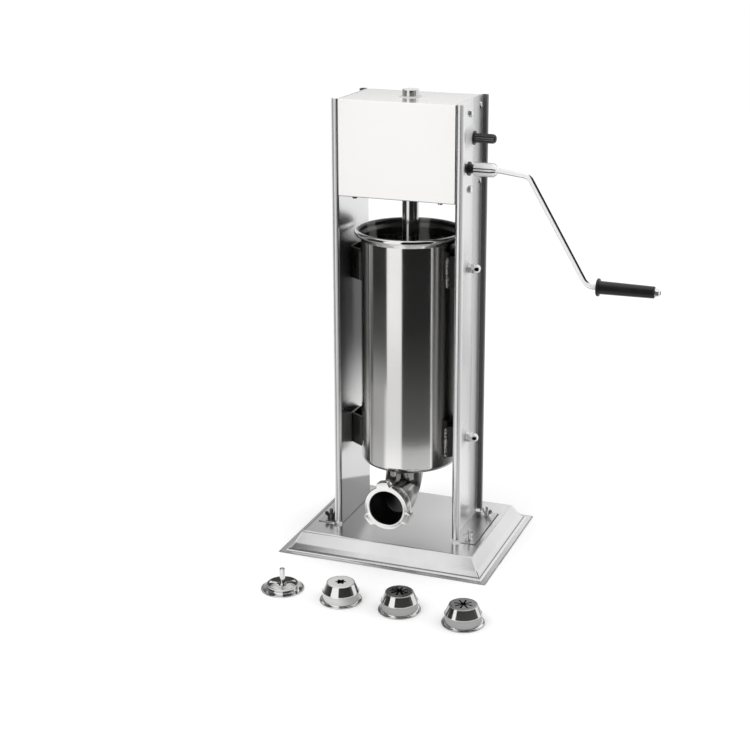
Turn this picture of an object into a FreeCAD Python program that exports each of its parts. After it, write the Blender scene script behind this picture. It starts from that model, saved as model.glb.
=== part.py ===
import FreeCAD, Part
import math
import os
from FreeCAD import Vector

# Hand-cranked upright churro press. Millimetres. +X is the crank side, -Y the front, +Z up.
# The origin lies on the table, under the axis of the barrel.

# ---- driving dimensions ----------------------------------------------------
# base pan
base_length = 314.7
base_depth = 250.5
base_height = 26.6
base_sheet = 1.2
base_lip = 9.0
base_bead_run = 3.0
base_bead_rise = 3.0
base_lip_radius = 1.0
base_bead_radius = 1.5
base_hollow_radius = 12.0
base_slope_run = 26.8
base_hollow_run = 17.0
base_hollow_rise = 10.3
base_edge_radius = 3.5
# columns
column_spacing = 170.6
column_depth = 119.7
column_above_head = 0.5
column_sheet = 1.5
column_centre_y = -1.35
hem_width = 11.24
hem_return = 9.0
hem_foot_gap = 2.5
foot_reach = 35.7
foot_depth = 117.0
foot_bend_radius = 4.5
foot_bolt_reach = 22.2
foot_bolt_spacing = 90.0
foot_bolt_d = 5.0
foot_bolt_head_d = 12.0
foot_bolt_head_height = 3.0
foot_bolt_end = 14.5
foot_washer_d = 12.0
foot_washer_thickness = 1.0
wing_nut_height = 10.0
wing_nut_span = 19.0
wing_nut_hub_d = 9.0
wing_nut_hub_height = 6.5
wing_nut_wing_low = 1.0
wing_nut_wing_thickness = 2.2
wing_nut_tip_width = 4.2
wing_nut_tip_radius = 1.8
# barrel
barrel_d = 142.0
barrel_wall = 1.5
barrel_bottom = 123.5
loading_gap = 52.0
barrel_rim_d = 160.6
barrel_rim_curl_d = 7.8
barrel_flare_height = 5.0
barrel_flare_radius = 2.5
barrel_bottom_radius = 8.0
# barrel brackets and their bolts
bracket_half_width_at_barrel = 27.5
bracket_half_width_at_web = 15.0
bracket_height = 46.0
bracket_below_bolt = 2.5
bracket_sheet = 1.5
bracket_bend_radius = 3.0
bracket_from_barrel_bottom = 43.5
bracket_from_barrel_top = 50.4
barrel_bolt_d = 8.0
barrel_bolt_flats = 13.0
barrel_bolt_head = 5.3
barrel_nut_height = 6.5
cap_nut_hex = 5.0
cap_nut_height = 12.0
cap_nut_shoulder = 0.3
cap_nut_hollow = 0.5
# outlet
outlet_forward = 22.0
outlet_height = 81.5
outlet_bore_d = 50.6
outlet_wall = 2.2
outlet_bend_radius = 32.0
outlet_face = 100.0
collar_wall = 2.7
collar_length = 18.0
ring_nut_d = 66.0
ring_nut_depth = 16.0
ring_nut_lip = 3.0
ring_nut_lug_d = 77.0
ring_nut_lug_width = 20.0
ring_nut_lug_depth = 12.0
ring_nut_lug_radius = 4.5
ring_nut_lug_angle = 99.0
ring_nut_lug_count = 3
# gear head
head_top = 658.3
head_height = 135.9
head_front_setback = 2.1
head_rear_setback = 0.8
head_sheet = 1.2
head_bend_radius = 1.8
head_return = 11.0
head_flange = 16.0
head_flange_low_gap = 1.0
head_flange_high_gap = 2.0
head_floor_sheet = 1.5
head_floor_screw_x = 63.0
head_floor_screw_inset = 5.0
crossbar_sheet = 3.0
crossbar_front = 20.0
crossbar_rear = 36.0
crossbar_flange = 18.0
crossbar_bend_radius = 4.0
upper_crossbar_drop = 8.3
bearing_plate_x = 29.0
bearing_plate_sheet = 3.0
bearing_plate_front = 14.0
bearing_plate_rear = 34.0
bearing_plate_flange = 15.0
bearing_plate_bend_radius = 4.0
bearing_screw_inset = 7.0
# screws in the column webs
web_screw_d = 5.0
web_screw_head_d = 12.0
web_screw_head_height = 3.6
web_screw_y = 2.5
web_screw_from_head_bottom = 10.0
web_screw_from_head_top = 18.9
cover_screw_d = 4.0
cover_screw_head_d = 9.0
cover_screw_head_height = 3.0
cover_screw_hem_gap = 0.4
cover_screw_from_head_bottom = 15.6
cover_screw_from_head_top = 13.3
screw_tail = 2.0
small_screw_d = 4.0
small_screw_head_d = 7.0
small_screw_head_height = 2.6
# rod, rack and piston
rod_d = 24.0
rod_above_head = 10.7
rod_chamfer = 1.0
rod_spigot_d = 16.0
rack_module = 2.0
rack_pitch_plane = 8.5
rack_addendum = 1.35
rack_root_clearance = 0.4
rack_below_shaft = 380.3
rack_above_shaft = 22.7
tooth_backlash = 0.3
pressure_angle = 20.0
piston_rest_gap = 0.8
piston_thickness = 22.0
piston_d = 137.0
piston_edge_radius = 7.0
piston_top_radius = 1.5
piston_recess_d = 31.0
piston_recess_depth = 9.5
piston_nut_flats = 24.0
piston_nut_height = 6.5
piston_washer_d = 28.0
piston_washer_thickness = 1.5
seal_height = 8.0
seal_depth = 4.0
seal_clearance = 0.3
seal_above_middle = 1.0
seal_edge_radius = 1.2
# shafts and gears
pinion_teeth = 12
pinion_addendum = 1.6
pinion_dedendum = 2.4
pinion_width = 16.0
pinion_hub_d = 20.0
pinion_hub_length = 10.0
gear_module = 1.5
large_gear_teeth = 43
small_gear_teeth = 17
gear_x = 42.0
gear_width = 12.0
large_hub_d = 26.0
small_hub_d = 18.5
gear_hub_length = 10.0
upper_shaft_drop = 47.7
shaft_d = 12.0
shaft_edge_radius = 0.8
shaft_end_d = 10.0
upper_shaft_left = 86.0
upper_shaft_end = 115.5
lower_shaft_end = 113.0
lower_shaft_start = 21.0
hub_pin_d = 3.0
clip_thickness = 1.0
clip_d = 18.0
clip_groove_depth = 0.8
bush_d = 16.0
bush_flange_d = 19.8
bush_flange = 1.5
bush_edge_radius = 0.5
plate_bush_tail = 1.0
bush_inner_length = 4.0
bush_nose_d = 12.6
bush_nose_length = 5.8
rod_bush_d = 28.0
rod_bush_flange_d = 31.0
rod_bush_flange = 1.2
rod_bush_tail = 2.0
shaft_cap_d = 13.4
shaft_cap_start = 88.8
shaft_cap_end = 119.2
shaft_cap_ribs = 10
shaft_cap_groove_d = 1.6
shaft_cap_collar = 2.0
# crank
hub_start = 95.0
hub_end = 127.0
hub_d = 20.0
hub_nose_d = 13.0
hub_taper = 5.0
hub_shoulder_radius = 1.5
hub_screw_sink = 0.5
hub_screw_d = 5.0
hub_screw_x = 104.0
crank_rod_d = 7.6
crank_rod_start = 116.0
crank_shoulder_x = 130.0
crank_shoulder_radius = 20.0
crank_elbow_x = 172.7
crank_elbow_drop = 5.2
crank_elbow_radius = 14.0
crank_grip_bend_x = 258.6
crank_grip_bend_radius = 17.0
crank_throw = 152.9
grip_start = 272.8
grip_end = 353.2
grip_d = 18.5
grip_end_d = 16.6
grip_flange_d = 25.0
grip_flange_width = 3.8
grip_flange_radius = 1.4
grip_end_radius = 2.0
grip_washer_d = 13.0
grip_washer_thickness = 1.0
grip_thread_d = 6.0
grip_nut_flats = 10.0
grip_nut_height = 4.0
crank_tip = 361.0
# nozzles and core insert, standing on the table
nozzle_flange_d = 58.0
nozzle_flange_thickness = 1.6
nozzle_band_d = 49.6
nozzle_band_top = 14.0
nozzle_top_d = 38.0
nozzle_height = 27.0
nozzle_wall = 1.2
nozzle_foot_radius = 1.2
nozzle_edge_radius = 1.4
nozzle_shoulder_radius = 1.0
rim_radius = 0.5
small_star_d = 13.2
small_star_root_d = 9.2
small_star_points = 6
small_star_turn = 20.0
small_star_tip_radius = 0.9
small_star_root_radius = 0.6
slot_star_d = 25.0
slot_star_slots = 8
broad_slot_width = 3.0
thin_slot_width = 1.8
small_star_x = -14.0
small_star_y = -236.0
broad_star_x = 71.0
broad_star_y = -235.5
thin_star_x = 163.0
thin_star_y = -241.0
core_x = -103.0
core_y = -232.0
core_flange_d = 59.6
core_flange_thickness = 1.6
core_ring_d = 43.0
core_ring_height = 8.4
core_ring_wall = 1.8
core_edge_radius = 0.8
core_spoke_tuck = 0.3
core_plate_drop = 0.8
core_plate_thickness = 2.2
core_pin_d = 7.6
core_pin_top = 30.3
core_hub_d = 11.0
core_spokes = 3
core_spoke_width = 4.6
core_spoke_angle = -65.0
# clearances
bore_clearance = 0.06
hole_clearance = 0.1
panel_clearance = 0.2
thread_clearance = 0.3
face_gap = 0.4
weld_overlap = 1.0
cut_margin = 1.0

# ---- sizes that follow -----------------------------------------------------
web_inner = column_spacing / 2
web_outer = web_inner + column_sheet
column_front = column_centre_y - column_depth / 2
column_rear = column_centre_y + column_depth / 2
barrel_r = barrel_d / 2
barrel_inner_r = barrel_r - barrel_wall
barrel_floor = barrel_bottom + barrel_wall
head_bottom = head_top - head_height
column_top = head_top + column_above_head
barrel_top = head_bottom - loading_gap
bracket_levels = {
    "lower": barrel_bottom + bracket_from_barrel_bottom,
    "upper": barrel_top - bracket_from_barrel_top,
}
outlet_r = outlet_bore_d / 2
pipe_r = outlet_r + outlet_wall
collar_r = pipe_r + collar_wall
head_front = column_front + head_front_setback
head_rear = column_rear - head_rear_setback
floor_low = head_bottom + head_sheet
floor_high = floor_low + head_floor_sheet
lower_crossbar_top = floor_high + crossbar_sheet
upper_crossbar_top = head_top - upper_crossbar_drop
upper_crossbar_low = upper_crossbar_top - crossbar_sheet
web_screw_levels = (head_bottom + web_screw_from_head_bottom, head_top - web_screw_from_head_top)
cover_screw_levels = (head_bottom + cover_screw_from_head_bottom, head_top - cover_screw_from_head_top)
rod_r = rod_d / 2
rod_top = head_top + rod_above_head
pinion_pitch_r = rack_module * pinion_teeth / 2
upper_shaft_y = rack_pitch_plane + pinion_pitch_r
upper_shaft_z = upper_crossbar_top - upper_shaft_drop
rack_low = upper_shaft_z - rack_below_shaft
rack_high = upper_shaft_z + rack_above_shaft
gear_dedendum = 1.25 * gear_module
gear_distance = gear_module * (large_gear_teeth + small_gear_teeth) / 2
lower_shaft_y = 0.0
lower_shaft_z = upper_shaft_z - math.sqrt(gear_distance ** 2 - (upper_shaft_y - lower_shaft_y) ** 2)
shaft_r = shaft_d / 2
shaft_end_r = shaft_end_d / 2
shoulder_x = web_outer + bush_flange
piston_low = barrel_floor + piston_rest_gap
piston_high = piston_low + piston_thickness
seal_low = piston_low + (piston_thickness - seal_height) / 2 + seal_above_middle
seal_high = seal_low + seal_height
base_half_length = base_length / 2
base_half_depth = base_depth / 2
foot_top = base_height + column_sheet


# ---- drawing helpers -------------------------------------------------------
def outline(corners, place):
    # Closed wire through (u, v, radius) corners, each rounded by its own radius.
    bends = []
    count = len(corners)
    for i, (u, v, radius) in enumerate(corners):
        here = Vector(u, v, 0)
        before = Vector(corners[i - 1][0], corners[i - 1][1], 0)
        after = Vector(corners[(i + 1) % count][0], corners[(i + 1) % count][1], 0)
        back = (before - here).normalize()
        ahead = (after - here).normalize()
        half = back.getAngle(ahead) / 2
        if radius > 0:
            middle = here + (back + ahead).normalize() * (radius / math.sin(half) - radius)
            reach = radius / math.tan(half)
            bends.append((here + back * reach, middle, here + ahead * reach))
        else:
            bends.append((here, here, here))
    edges = []
    for i, (start, middle, end) in enumerate(bends):
        if start.distanceToPoint(end) > 1e-6:
            edges.append(Part.Arc(place(start), place(middle), place(end)).toShape())
        following = bends[(i + 1) % count][0]
        if end.distanceToPoint(following) > 1e-6:
            edges.append(Part.LineSegment(place(end), place(following)).toShape())
    return Part.Wire(edges)


def beside(path, distance):
    # The same open path, moved to its left by a distance, with its bend radii to match.
    moved = []
    for i, (u, v, radius) in enumerate(path):
        here = Vector(u, v, 0)
        into = None
        out = None
        if i > 0:
            into = (here - Vector(path[i - 1][0], path[i - 1][1], 0)).normalize()
        if i < len(path) - 1:
            out = (Vector(path[i + 1][0], path[i + 1][1], 0) - here).normalize()
        into = into or out
        out = out or into
        left_in = Vector(-into.y, into.x, 0)
        left_out = Vector(-out.y, out.x, 0)
        mitre = (left_in + left_out) * (1 / (1 + left_in.dot(left_out)))
        corner = here + mitre * distance
        turn = into.x * out.y - into.y * out.x
        if radius > 0:
            radius = max(radius - distance if turn > 0 else radius + distance, 0)
        moved.append((corner.x, corner.y, radius))
    return moved


def strip(path, thickness):
    # Outline of sheet metal that follows a path, with its thickness to the left.
    return list(path) + list(reversed(beside(path, thickness)))


def prism(corners, plane, low, high):
    # Solid with this outline, drawn in one plane and drawn out across it.
    lift = {"xy": Vector(0, 0, 1), "xz": Vector(0, 1, 0), "yz": Vector(1, 0, 0)}[plane]
    place = {
        "xy": lambda p: Vector(p.x, p.y, low),
        "xz": lambda p: Vector(p.x, low, p.y),
        "yz": lambda p: Vector(low, p.x, p.y),
    }[plane]
    return Part.Face(outline(corners, place)).extrude(lift * (high - low))


def turned_z(corners, x=0, y=0):
    # Corners are (radius, z, rounding) about an upright axis.
    wire = outline(corners, lambda p: Vector(x + p.x, y, p.y))
    return Part.Face(wire).revolve(Vector(x, y, 0), Vector(0, 0, 1), 360)


def turned_x(corners, y, z):
    # Corners are (x, radius, rounding) about an axis along X.
    wire = outline(corners, lambda p: Vector(p.x, y, z + p.y))
    return Part.Face(wire).revolve(Vector(0, y, z), Vector(1, 0, 0), 360)


def box(x0, x1, y0, y1, z0, z1):
    return Part.makeBox(x1 - x0, y1 - y0, z1 - z0, Vector(x0, y0, z0))


def round_x(x0, x1, radius, y, z):
    return Part.makeCylinder(radius, x1 - x0, Vector(x0, y, z), Vector(1, 0, 0))


def round_y(y0, y1, radius, x, z):
    return Part.makeCylinder(radius, y1 - y0, Vector(x, y0, z), Vector(0, 1, 0))


def round_z(z0, z1, radius, x=0, y=0):
    return Part.makeCylinder(radius, z1 - z0, Vector(x, y, z0))


def hexagon(flats, turn=0):
    reach = flats / math.sqrt(3)
    angles = [math.radians(turn + 60 * i) for i in range(6)]
    return [(reach * math.cos(a), reach * math.sin(a), 0) for a in angles]


def hex_x(x0, x1, flats, y, z):
    return prism([(u + y, v + z, 0) for u, v, r in hexagon(flats, 30)], "yz", x0, x1)


def hex_z(z0, z1, flats, x=0, y=0):
    return prism([(u + x, v + y, 0) for u, v, r in hexagon(flats)], "xy", z0, z1)


def mirrored(shape):
    return shape.mirror(Vector(0, 0, 0), Vector(1, 0, 0))


def joined(shapes):
    whole = shapes[0].fuse(shapes[1:]) if len(shapes) > 1 else shapes[0]
    return whole.removeSplitter()


def swept(path_edges, radius, start, heading):
    profile = Part.Face(Part.Wire(Part.makeCircle(radius, start, heading)))
    return Part.Wire(path_edges).makePipe(profile)


def rounded_line(corners, place):
    # Open line through corners with tangent arcs at the inner ones, as a list of edges.
    edges = []
    cursor = Vector(corners[0][0], corners[0][1], 0)
    for i in range(1, len(corners)):
        here = Vector(corners[i][0], corners[i][1], 0)
        radius = corners[i][2]
        if radius > 0:
            before = Vector(corners[i - 1][0], corners[i - 1][1], 0)
            after = Vector(corners[i + 1][0], corners[i + 1][1], 0)
            back = (before - here).normalize()
            ahead = (after - here).normalize()
            half = back.getAngle(ahead) / 2
            reach = radius / math.tan(half)
            start = here + back * reach
            end = here + ahead * reach
            middle = here + (back + ahead).normalize() * (radius / math.sin(half) - radius)
            edges.append(Part.LineSegment(place(cursor), place(start)).toShape())
            edges.append(Part.Arc(place(start), place(middle), place(end)).toShape())
            cursor = end
        else:
            edges.append(Part.LineSegment(place(cursor), place(here)).toShape())
            cursor = here
    return edges


def pan_screw_x(face, tip, y, z, d, head_d, head_height):
    # Pan-head screw with its head standing outwards from a face, along +X.
    head = [(face, 0, 0), (face, head_d / 2, 0), (face + head_height, head_d / 2, head_height * 0.9)]
    head.append((face + head_height, 0, 0))
    return joined([turned_x(head, y, z), round_x(tip, face, d / 2, y, z)])


def pan_screw_z(face, tip, x, y, d, head_d, head_height):
    # The same screw upright; the head stands on the side of the face away from the tip.
    out = math.copysign(head_height, face - tip)
    head = [(0, face, 0), (head_d / 2, face, 0), (head_d / 2, face + out, head_height * 0.6)]
    head.append((0, face + out, 0))
    return joined([turned_z(head, x, y), round_z(min(face, tip), max(face, tip), d / 2, x, y)])


# ---- base ------------------------------------------------------------------
def base_section(half, centre, low):
    # Half outline of the pan's upper face, from the lip's edge to the flat top.
    rise = [
        (half, base_sheet, 0),
        (half - base_lip, base_sheet, base_lip_radius),
        (half - base_lip - base_bead_run, base_sheet + base_bead_rise, base_bead_radius),
        (half - base_hollow_run, base_hollow_rise, base_hollow_radius),
        (half - base_slope_run, base_height, base_edge_radius),
        (0, base_height, 0),
    ]
    if low < 0:
        rise = beside(rise, base_sheet)
    mirror_rise = [(-u, v, r) for u, v, r in reversed(rise)]
    section = rise[:-1] + mirror_rise[1:] + [(-rise[0][0], low, 0), (rise[0][0], low, 0)]
    return [(u + centre, v, r) for u, v, r in section]


def pan_block(low):
    along = prism(base_section(base_half_length, 0, low), "xz", -base_depth, base_depth)
    across = prism(base_section(base_half_depth, column_centre_y, low), "yz", -base_length, base_length)
    return along.common(across)


def foot_bolt_places():
    half = foot_bolt_spacing / 2
    x = web_inner + foot_bolt_reach
    return [(sx * x, column_centre_y + sy * half) for sx in (-1, 1) for sy in (-1, 1)]


def base_pan():
    pan = pan_block(0).cut(pan_block(-base_height))
    for x, y in foot_bolt_places():
        pan = pan.cut(round_z(0, base_height + cut_margin, foot_bolt_d / 2 + hole_clearance, x, y))
    return pan.removeSplitter()


def foot_bolt(x, y):
    under = base_height - base_sheet
    head = [(0, under, 0), (foot_bolt_head_d / 2, under, 0)]
    head.append((foot_bolt_head_d / 2, under - foot_bolt_head_height, foot_bolt_head_height * 0.9))
    head.append((0, under - foot_bolt_head_height, 0))
    shank = round_z(under, foot_top + foot_bolt_end, foot_bolt_d / 2, x, y)
    return joined([turned_z(head, x, y), shank])


def foot_washer(x, y):
    ring = round_z(foot_top, foot_top + foot_washer_thickness, foot_washer_d / 2, x, y)
    return ring.cut(round_z(foot_top, foot_top + foot_bolt_end, foot_bolt_d / 2 + hole_clearance, x, y))


def wing_nut(x, y, turn):
    seat = foot_top + foot_washer_thickness
    top = seat + wing_nut_height
    low = seat + wing_nut_wing_low
    hub_r = wing_nut_hub_d / 2
    hub_top = seat + wing_nut_hub_height
    reach = wing_nut_span / 2
    hub = turned_z([(0, seat, 0), (hub_r, seat, 0), (hub_r * 0.8, hub_top, 0), (0, hub_top, 0)])
    wing = [
        (0, low, 0),
        (hub_r, low, wing_nut_tip_radius / 2),
        (reach, hub_top, wing_nut_tip_radius),
        (reach, top, wing_nut_tip_radius),
        (reach - wing_nut_tip_width, top, wing_nut_tip_radius),
        (hub_r * 0.6, hub_top - low + seat, wing_nut_tip_radius / 2),
        (0, hub_top - low + seat, 0),
    ]
    right = prism(wing, "xz", -wing_nut_wing_thickness / 2, wing_nut_wing_thickness / 2)
    nut = joined([hub, right, mirrored(right)])
    nut = nut.cut(round_z(seat - cut_margin, top + cut_margin, foot_bolt_d / 2 + hole_clearance))
    nut.rotate(Vector(0, 0, 0), Vector(0, 0, 1), turn)
    nut.translate(Vector(x, y, 0))
    return nut


# ---- columns ---------------------------------------------------------------
def right_column():
    hem_r = hem_width / 2
    hem_x = web_inner + hem_width
    channel = strip([
        (hem_x, column_front + hem_return, 0),
        (hem_x, column_front, hem_r),
        (web_inner, column_front, hem_r),
        (web_inner, column_rear, hem_r),
        (hem_x, column_rear, hem_r),
        (hem_x, column_rear - hem_return, 0),
    ], -column_sheet)
    upright = prism(channel, "xy", foot_top + hem_foot_gap, column_top)
    web_front = column_front + hem_r
    web_rear = column_rear - hem_r
    bend = strip([
        (web_inner, foot_top + hem_foot_gap + weld_overlap, 0),
        (web_inner, base_height, foot_bend_radius),
        (web_inner + foot_reach / 2, base_height, 0),
    ], column_sheet)
    foot_front = column_centre_y - foot_depth / 2
    foot_rear = column_centre_y + foot_depth / 2
    plate = box(web_inner + foot_reach / 3, web_inner + foot_reach, foot_front, foot_rear, base_height, foot_top)
    column = joined([upright, prism(bend, "xz", web_front, web_rear), plate])
    for x, y in foot_bolt_places():
        column = column.cut(round_z(0, foot_top + cut_margin, foot_bolt_d / 2 + hole_clearance, x, y))
    for level in bracket_levels.values():
        column = column.cut(web_hole(barrel_bolt_d / 2 + hole_clearance, 0, level))
    for y, z in crossbar_screw_places():
        column = column.cut(web_hole(web_screw_d / 2 + hole_clearance, y, z))
    for y, z in cover_screw_places():
        column = column.cut(web_hole(cover_screw_d / 2 + hole_clearance, y, z))
    for y, z in ((upper_shaft_y, upper_shaft_z), (lower_shaft_y, lower_shaft_z)):
        column = column.cut(web_hole(bush_d / 2 + hole_clearance, y, z))
    return column


def left_column():
    # The left web carries the upper shaft only, so the lower shaft's hole is left out of it.
    column = mirrored(right_column())
    plug = round_x(-web_outer, -web_inner, bush_d / 2 + hole_clearance, lower_shaft_y, lower_shaft_z)
    return joined([column, plug])


def web_hole(radius, y, z):
    return round_x(web_inner - cut_margin, web_outer + cut_margin, radius, y, z)


def crossbar_screw_places():
    return [(web_screw_y, z) for z in web_screw_levels]


def cover_screw_places():
    # Close beside the hems, through the flanges of the head cover.
    beside_hem = hem_width / 2 + cover_screw_hem_gap + cover_screw_head_d / 2
    return [(y, z) for y in (column_front + beside_hem, column_rear - beside_hem) for z in cover_screw_levels]


def crossbar_screws():
    tip = web_inner - crossbar_sheet - screw_tail
    screws = []
    for y, z in crossbar_screw_places():
        screws.append(pan_screw_x(web_outer, tip, y, z, web_screw_d, web_screw_head_d, web_screw_head_height))
    return screws + [mirrored(s) for s in screws]


def cover_screws():
    tip = web_inner - panel_clearance - head_sheet - screw_tail
    size = (cover_screw_d, cover_screw_head_d, cover_screw_head_height)
    screws = [pan_screw_x(web_outer, tip, y, z, *size) for y, z in cover_screw_places()]
    return screws + [mirrored(s) for s in screws]


# ---- barrel ----------------------------------------------------------------
def barrel():
    curl_r = barrel_rim_curl_d / 2
    curl_x = barrel_rim_d / 2
    mouth_r = curl_x - barrel_rim_curl_d
    flare_top = barrel_top - barrel_rim_curl_d
    flare_low = flare_top - barrel_flare_height
    wall_top = flare_low - barrel_flare_radius
    body = strip([
        (0, barrel_bottom, 0),
        (barrel_r, barrel_bottom, barrel_bottom_radius),
        (barrel_r, wall_top, 0),
    ], barrel_wall)
    curl = strip([
        (barrel_inner_r, wall_top, 0),
        (barrel_inner_r, flare_low, barrel_flare_radius),
        (mouth_r, flare_top, barrel_flare_radius),
        (mouth_r, barrel_top, curl_r),
        (curl_x, barrel_top, curl_r),
        (curl_x, barrel_top - 2 * curl_r, curl_r),
        (curl_x - curl_r, barrel_top - 2 * curl_r, 0),
    ], -barrel_wall)
    shell = joined([turned_z(body), turned_z(curl)])
    mouth = round_z(barrel_bottom - cut_margin, barrel_floor + cut_margin, outlet_r, 0, -outlet_forward)
    return shell.cut(mouth)


def bracket(level):
    # U of sheet metal that widens from the column's web to the barrel's side.
    weld_x = math.sqrt(barrel_r ** 2 - bracket_half_width_at_barrel ** 2)
    root = barrel_r * 0.5
    spread = (bracket_half_width_at_barrel - bracket_half_width_at_web) / (web_inner - weld_x)
    root_half_width = bracket_half_width_at_web + spread * (web_inner - root)
    section = strip([
        (root, root_half_width, 0),
        (web_inner, bracket_half_width_at_web, bracket_bend_radius),
        (web_inner, -bracket_half_width_at_web, bracket_bend_radius),
        (root, -root_half_width, 0),
    ], -bracket_sheet)
    low = level - bracket_below_bolt - bracket_height / 2
    high = low + bracket_height
    solid = prism(section, "xy", low, high)
    solid = solid.cut(round_z(low - cut_margin, high + cut_margin, barrel_r))
    bolt_hole = round_x(web_inner - 2 * bracket_sheet, web_inner + cut_margin, barrel_bolt_d / 2 + hole_clearance, 0, level)
    return solid.cut(bolt_hole)


def barrel_bolt(level):
    seat = web_inner - bracket_sheet
    nut_end = web_outer + barrel_nut_height
    head = hex_x(seat - barrel_bolt_head, seat, barrel_bolt_flats, 0, level)
    shank = round_x(seat, nut_end + cap_nut_hex, barrel_bolt_d / 2, 0, level)
    return joined([head, shank])


def barrel_nut(level):
    nut_end = web_outer + barrel_nut_height
    nut = hex_x(web_outer, nut_end, barrel_bolt_flats, 0, level)
    return nut.cut(round_x(web_outer - cut_margin, nut_end + cut_margin, barrel_bolt_d / 2 + hole_clearance, 0, level))


def cap_nut(level):
    start = web_outer + barrel_nut_height
    hex_end = start + cap_nut_hex
    top = start + cap_nut_height
    dome_r = barrel_bolt_flats / 2 - cap_nut_shoulder
    dome_height = top - hex_end
    dome = [(hex_end, 0, 0), (hex_end, dome_r, 0), (top, dome_r, min(dome_height, dome_r) * 0.95), (top, 0, 0)]
    nut = joined([hex_x(start, hex_end, barrel_bolt_flats, 0, level), turned_x(dome, 0, level)])
    return nut.cut(round_x(start - cut_margin, hex_end + cap_nut_hollow, barrel_bolt_d / 2 + hole_clearance, 0, level))


def barrel_fasteners(make):
    right = [make(level) for level in bracket_levels.values()]
    return right + [mirrored(s) for s in right]


# ---- outlet ----------------------------------------------------------------
def outlet_elbow():
    end = -outlet_face + ring_nut_lip + face_gap
    path = [
        (-outlet_forward, barrel_bottom, 0),
        (-outlet_forward, outlet_height, outlet_bend_radius),
        (end, outlet_height, 0),
    ]
    edges = rounded_line(path, lambda p: Vector(0, p.x, p.y))
    start = Vector(0, -outlet_forward, barrel_bottom)
    outer = swept(edges, pipe_r, start, Vector(0, 0, 1))
    inner = swept(edges, outlet_r, start, Vector(0, 0, 1))
    return outer.cut(inner)


def threaded_collar():
    end = -outlet_face + ring_nut_lip + face_gap
    collar = round_y(end, end + collar_length, collar_r, 0, outlet_height)
    return collar.cut(round_y(end - cut_margin, end + collar_length + cut_margin, pipe_r, 0, outlet_height))


def ring_nut():
    front = -outlet_face
    rear = front + ring_nut_depth
    body = round_y(front, rear, ring_nut_d / 2, 0, outlet_height)
    lugs = []
    half = ring_nut_lug_width / 2
    for i in range(ring_nut_lug_count):
        lug = prism([
            (0, -half, 0),
            (ring_nut_lug_d / 2, -half, ring_nut_lug_radius),
            (ring_nut_lug_d / 2, half, ring_nut_lug_radius),
            (0, half, 0),
        ], "xz", front, front + ring_nut_lug_depth)
        turn = ring_nut_lug_angle + i * 360 / ring_nut_lug_count
        lug.rotate(Vector(0, 0, 0), Vector(0, -1, 0), turn)
        lug.translate(Vector(0, 0, outlet_height))
        lugs.append(lug)
    nut = joined([body] + lugs)
    cavity = round_y(front + ring_nut_lip, rear + cut_margin, collar_r + thread_clearance, 0, outlet_height)
    mouth = round_y(front - cut_margin, rear, outlet_r, 0, outlet_height)
    return nut.cut(cavity).cut(mouth)


# ---- gear head -------------------------------------------------------------
def head_cover():
    # One folded sheet: front, top and rear, with screw flanges against the webs.
    half = web_inner - panel_clearance
    shell = strip([
        (head_front + head_return, head_bottom, 0),
        (head_front, head_bottom, head_bend_radius),
        (head_front, head_top, head_bend_radius),
        (head_rear, head_top, head_bend_radius),
        (head_rear, head_bottom, head_bend_radius),
        (head_rear - head_return, head_bottom, 0),
    ], -head_sheet)
    pieces = [prism(shell, "yz", -half, half)]
    low = floor_high + head_flange_low_gap
    high = head_top - head_sheet - head_flange_high_gap
    for side in (-1, 1):
        inner = side * (half - head_sheet)
        outer = side * half
        for wall, reach in ((head_front + head_sheet / 2, head_flange), (head_rear - head_sheet / 2, -head_flange)):
            y0, y1 = sorted((wall, wall + reach))
            pieces.append(box(min(inner, outer), max(inner, outer), y0, y1, low, high))
    cover = joined(pieces)
    cover = cover.cut(round_z(head_top - 2 * head_sheet, head_top + cut_margin, rod_bush_d / 2 + hole_clearance))
    for y, z in cover_screw_places():
        cover = cover.cut(round_x(-half - cut_margin, half + cut_margin, cover_screw_d / 2 + hole_clearance, y, z))
    for x, y in floor_screw_places():
        hole = round_z(head_bottom - cut_margin, floor_low + cut_margin, small_screw_d / 2 + hole_clearance, x, y)
        cover = cover.cut(hole)
    return cover


def floor_screw_places():
    front = head_front + head_floor_screw_inset
    rear = head_rear - head_floor_screw_inset
    return [(sx * head_floor_screw_x, y) for sx in (-1, 1) for y in (front, rear)]


def head_floor():
    half = web_inner - panel_clearance - head_sheet - panel_clearance
    front = head_front + head_bend_radius + panel_clearance
    rear = head_rear - head_bend_radius - panel_clearance
    plate = box(-half, half, front, rear, floor_low, floor_high)
    plate = plate.cut(round_z(floor_low - cut_margin, floor_high + cut_margin, rod_bush_d / 2 + hole_clearance))
    for x, y in floor_screw_places():
        plate = plate.cut(round_z(floor_low - cut_margin, floor_high + cut_margin, small_screw_d / 2 + hole_clearance, x, y))
    return plate


def floor_screws():
    tip = floor_high + screw_tail
    return [
        pan_screw_z(head_bottom, tip, x, y, small_screw_d, small_screw_head_d, small_screw_head_height)
        for x, y in floor_screw_places()
    ]


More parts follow.
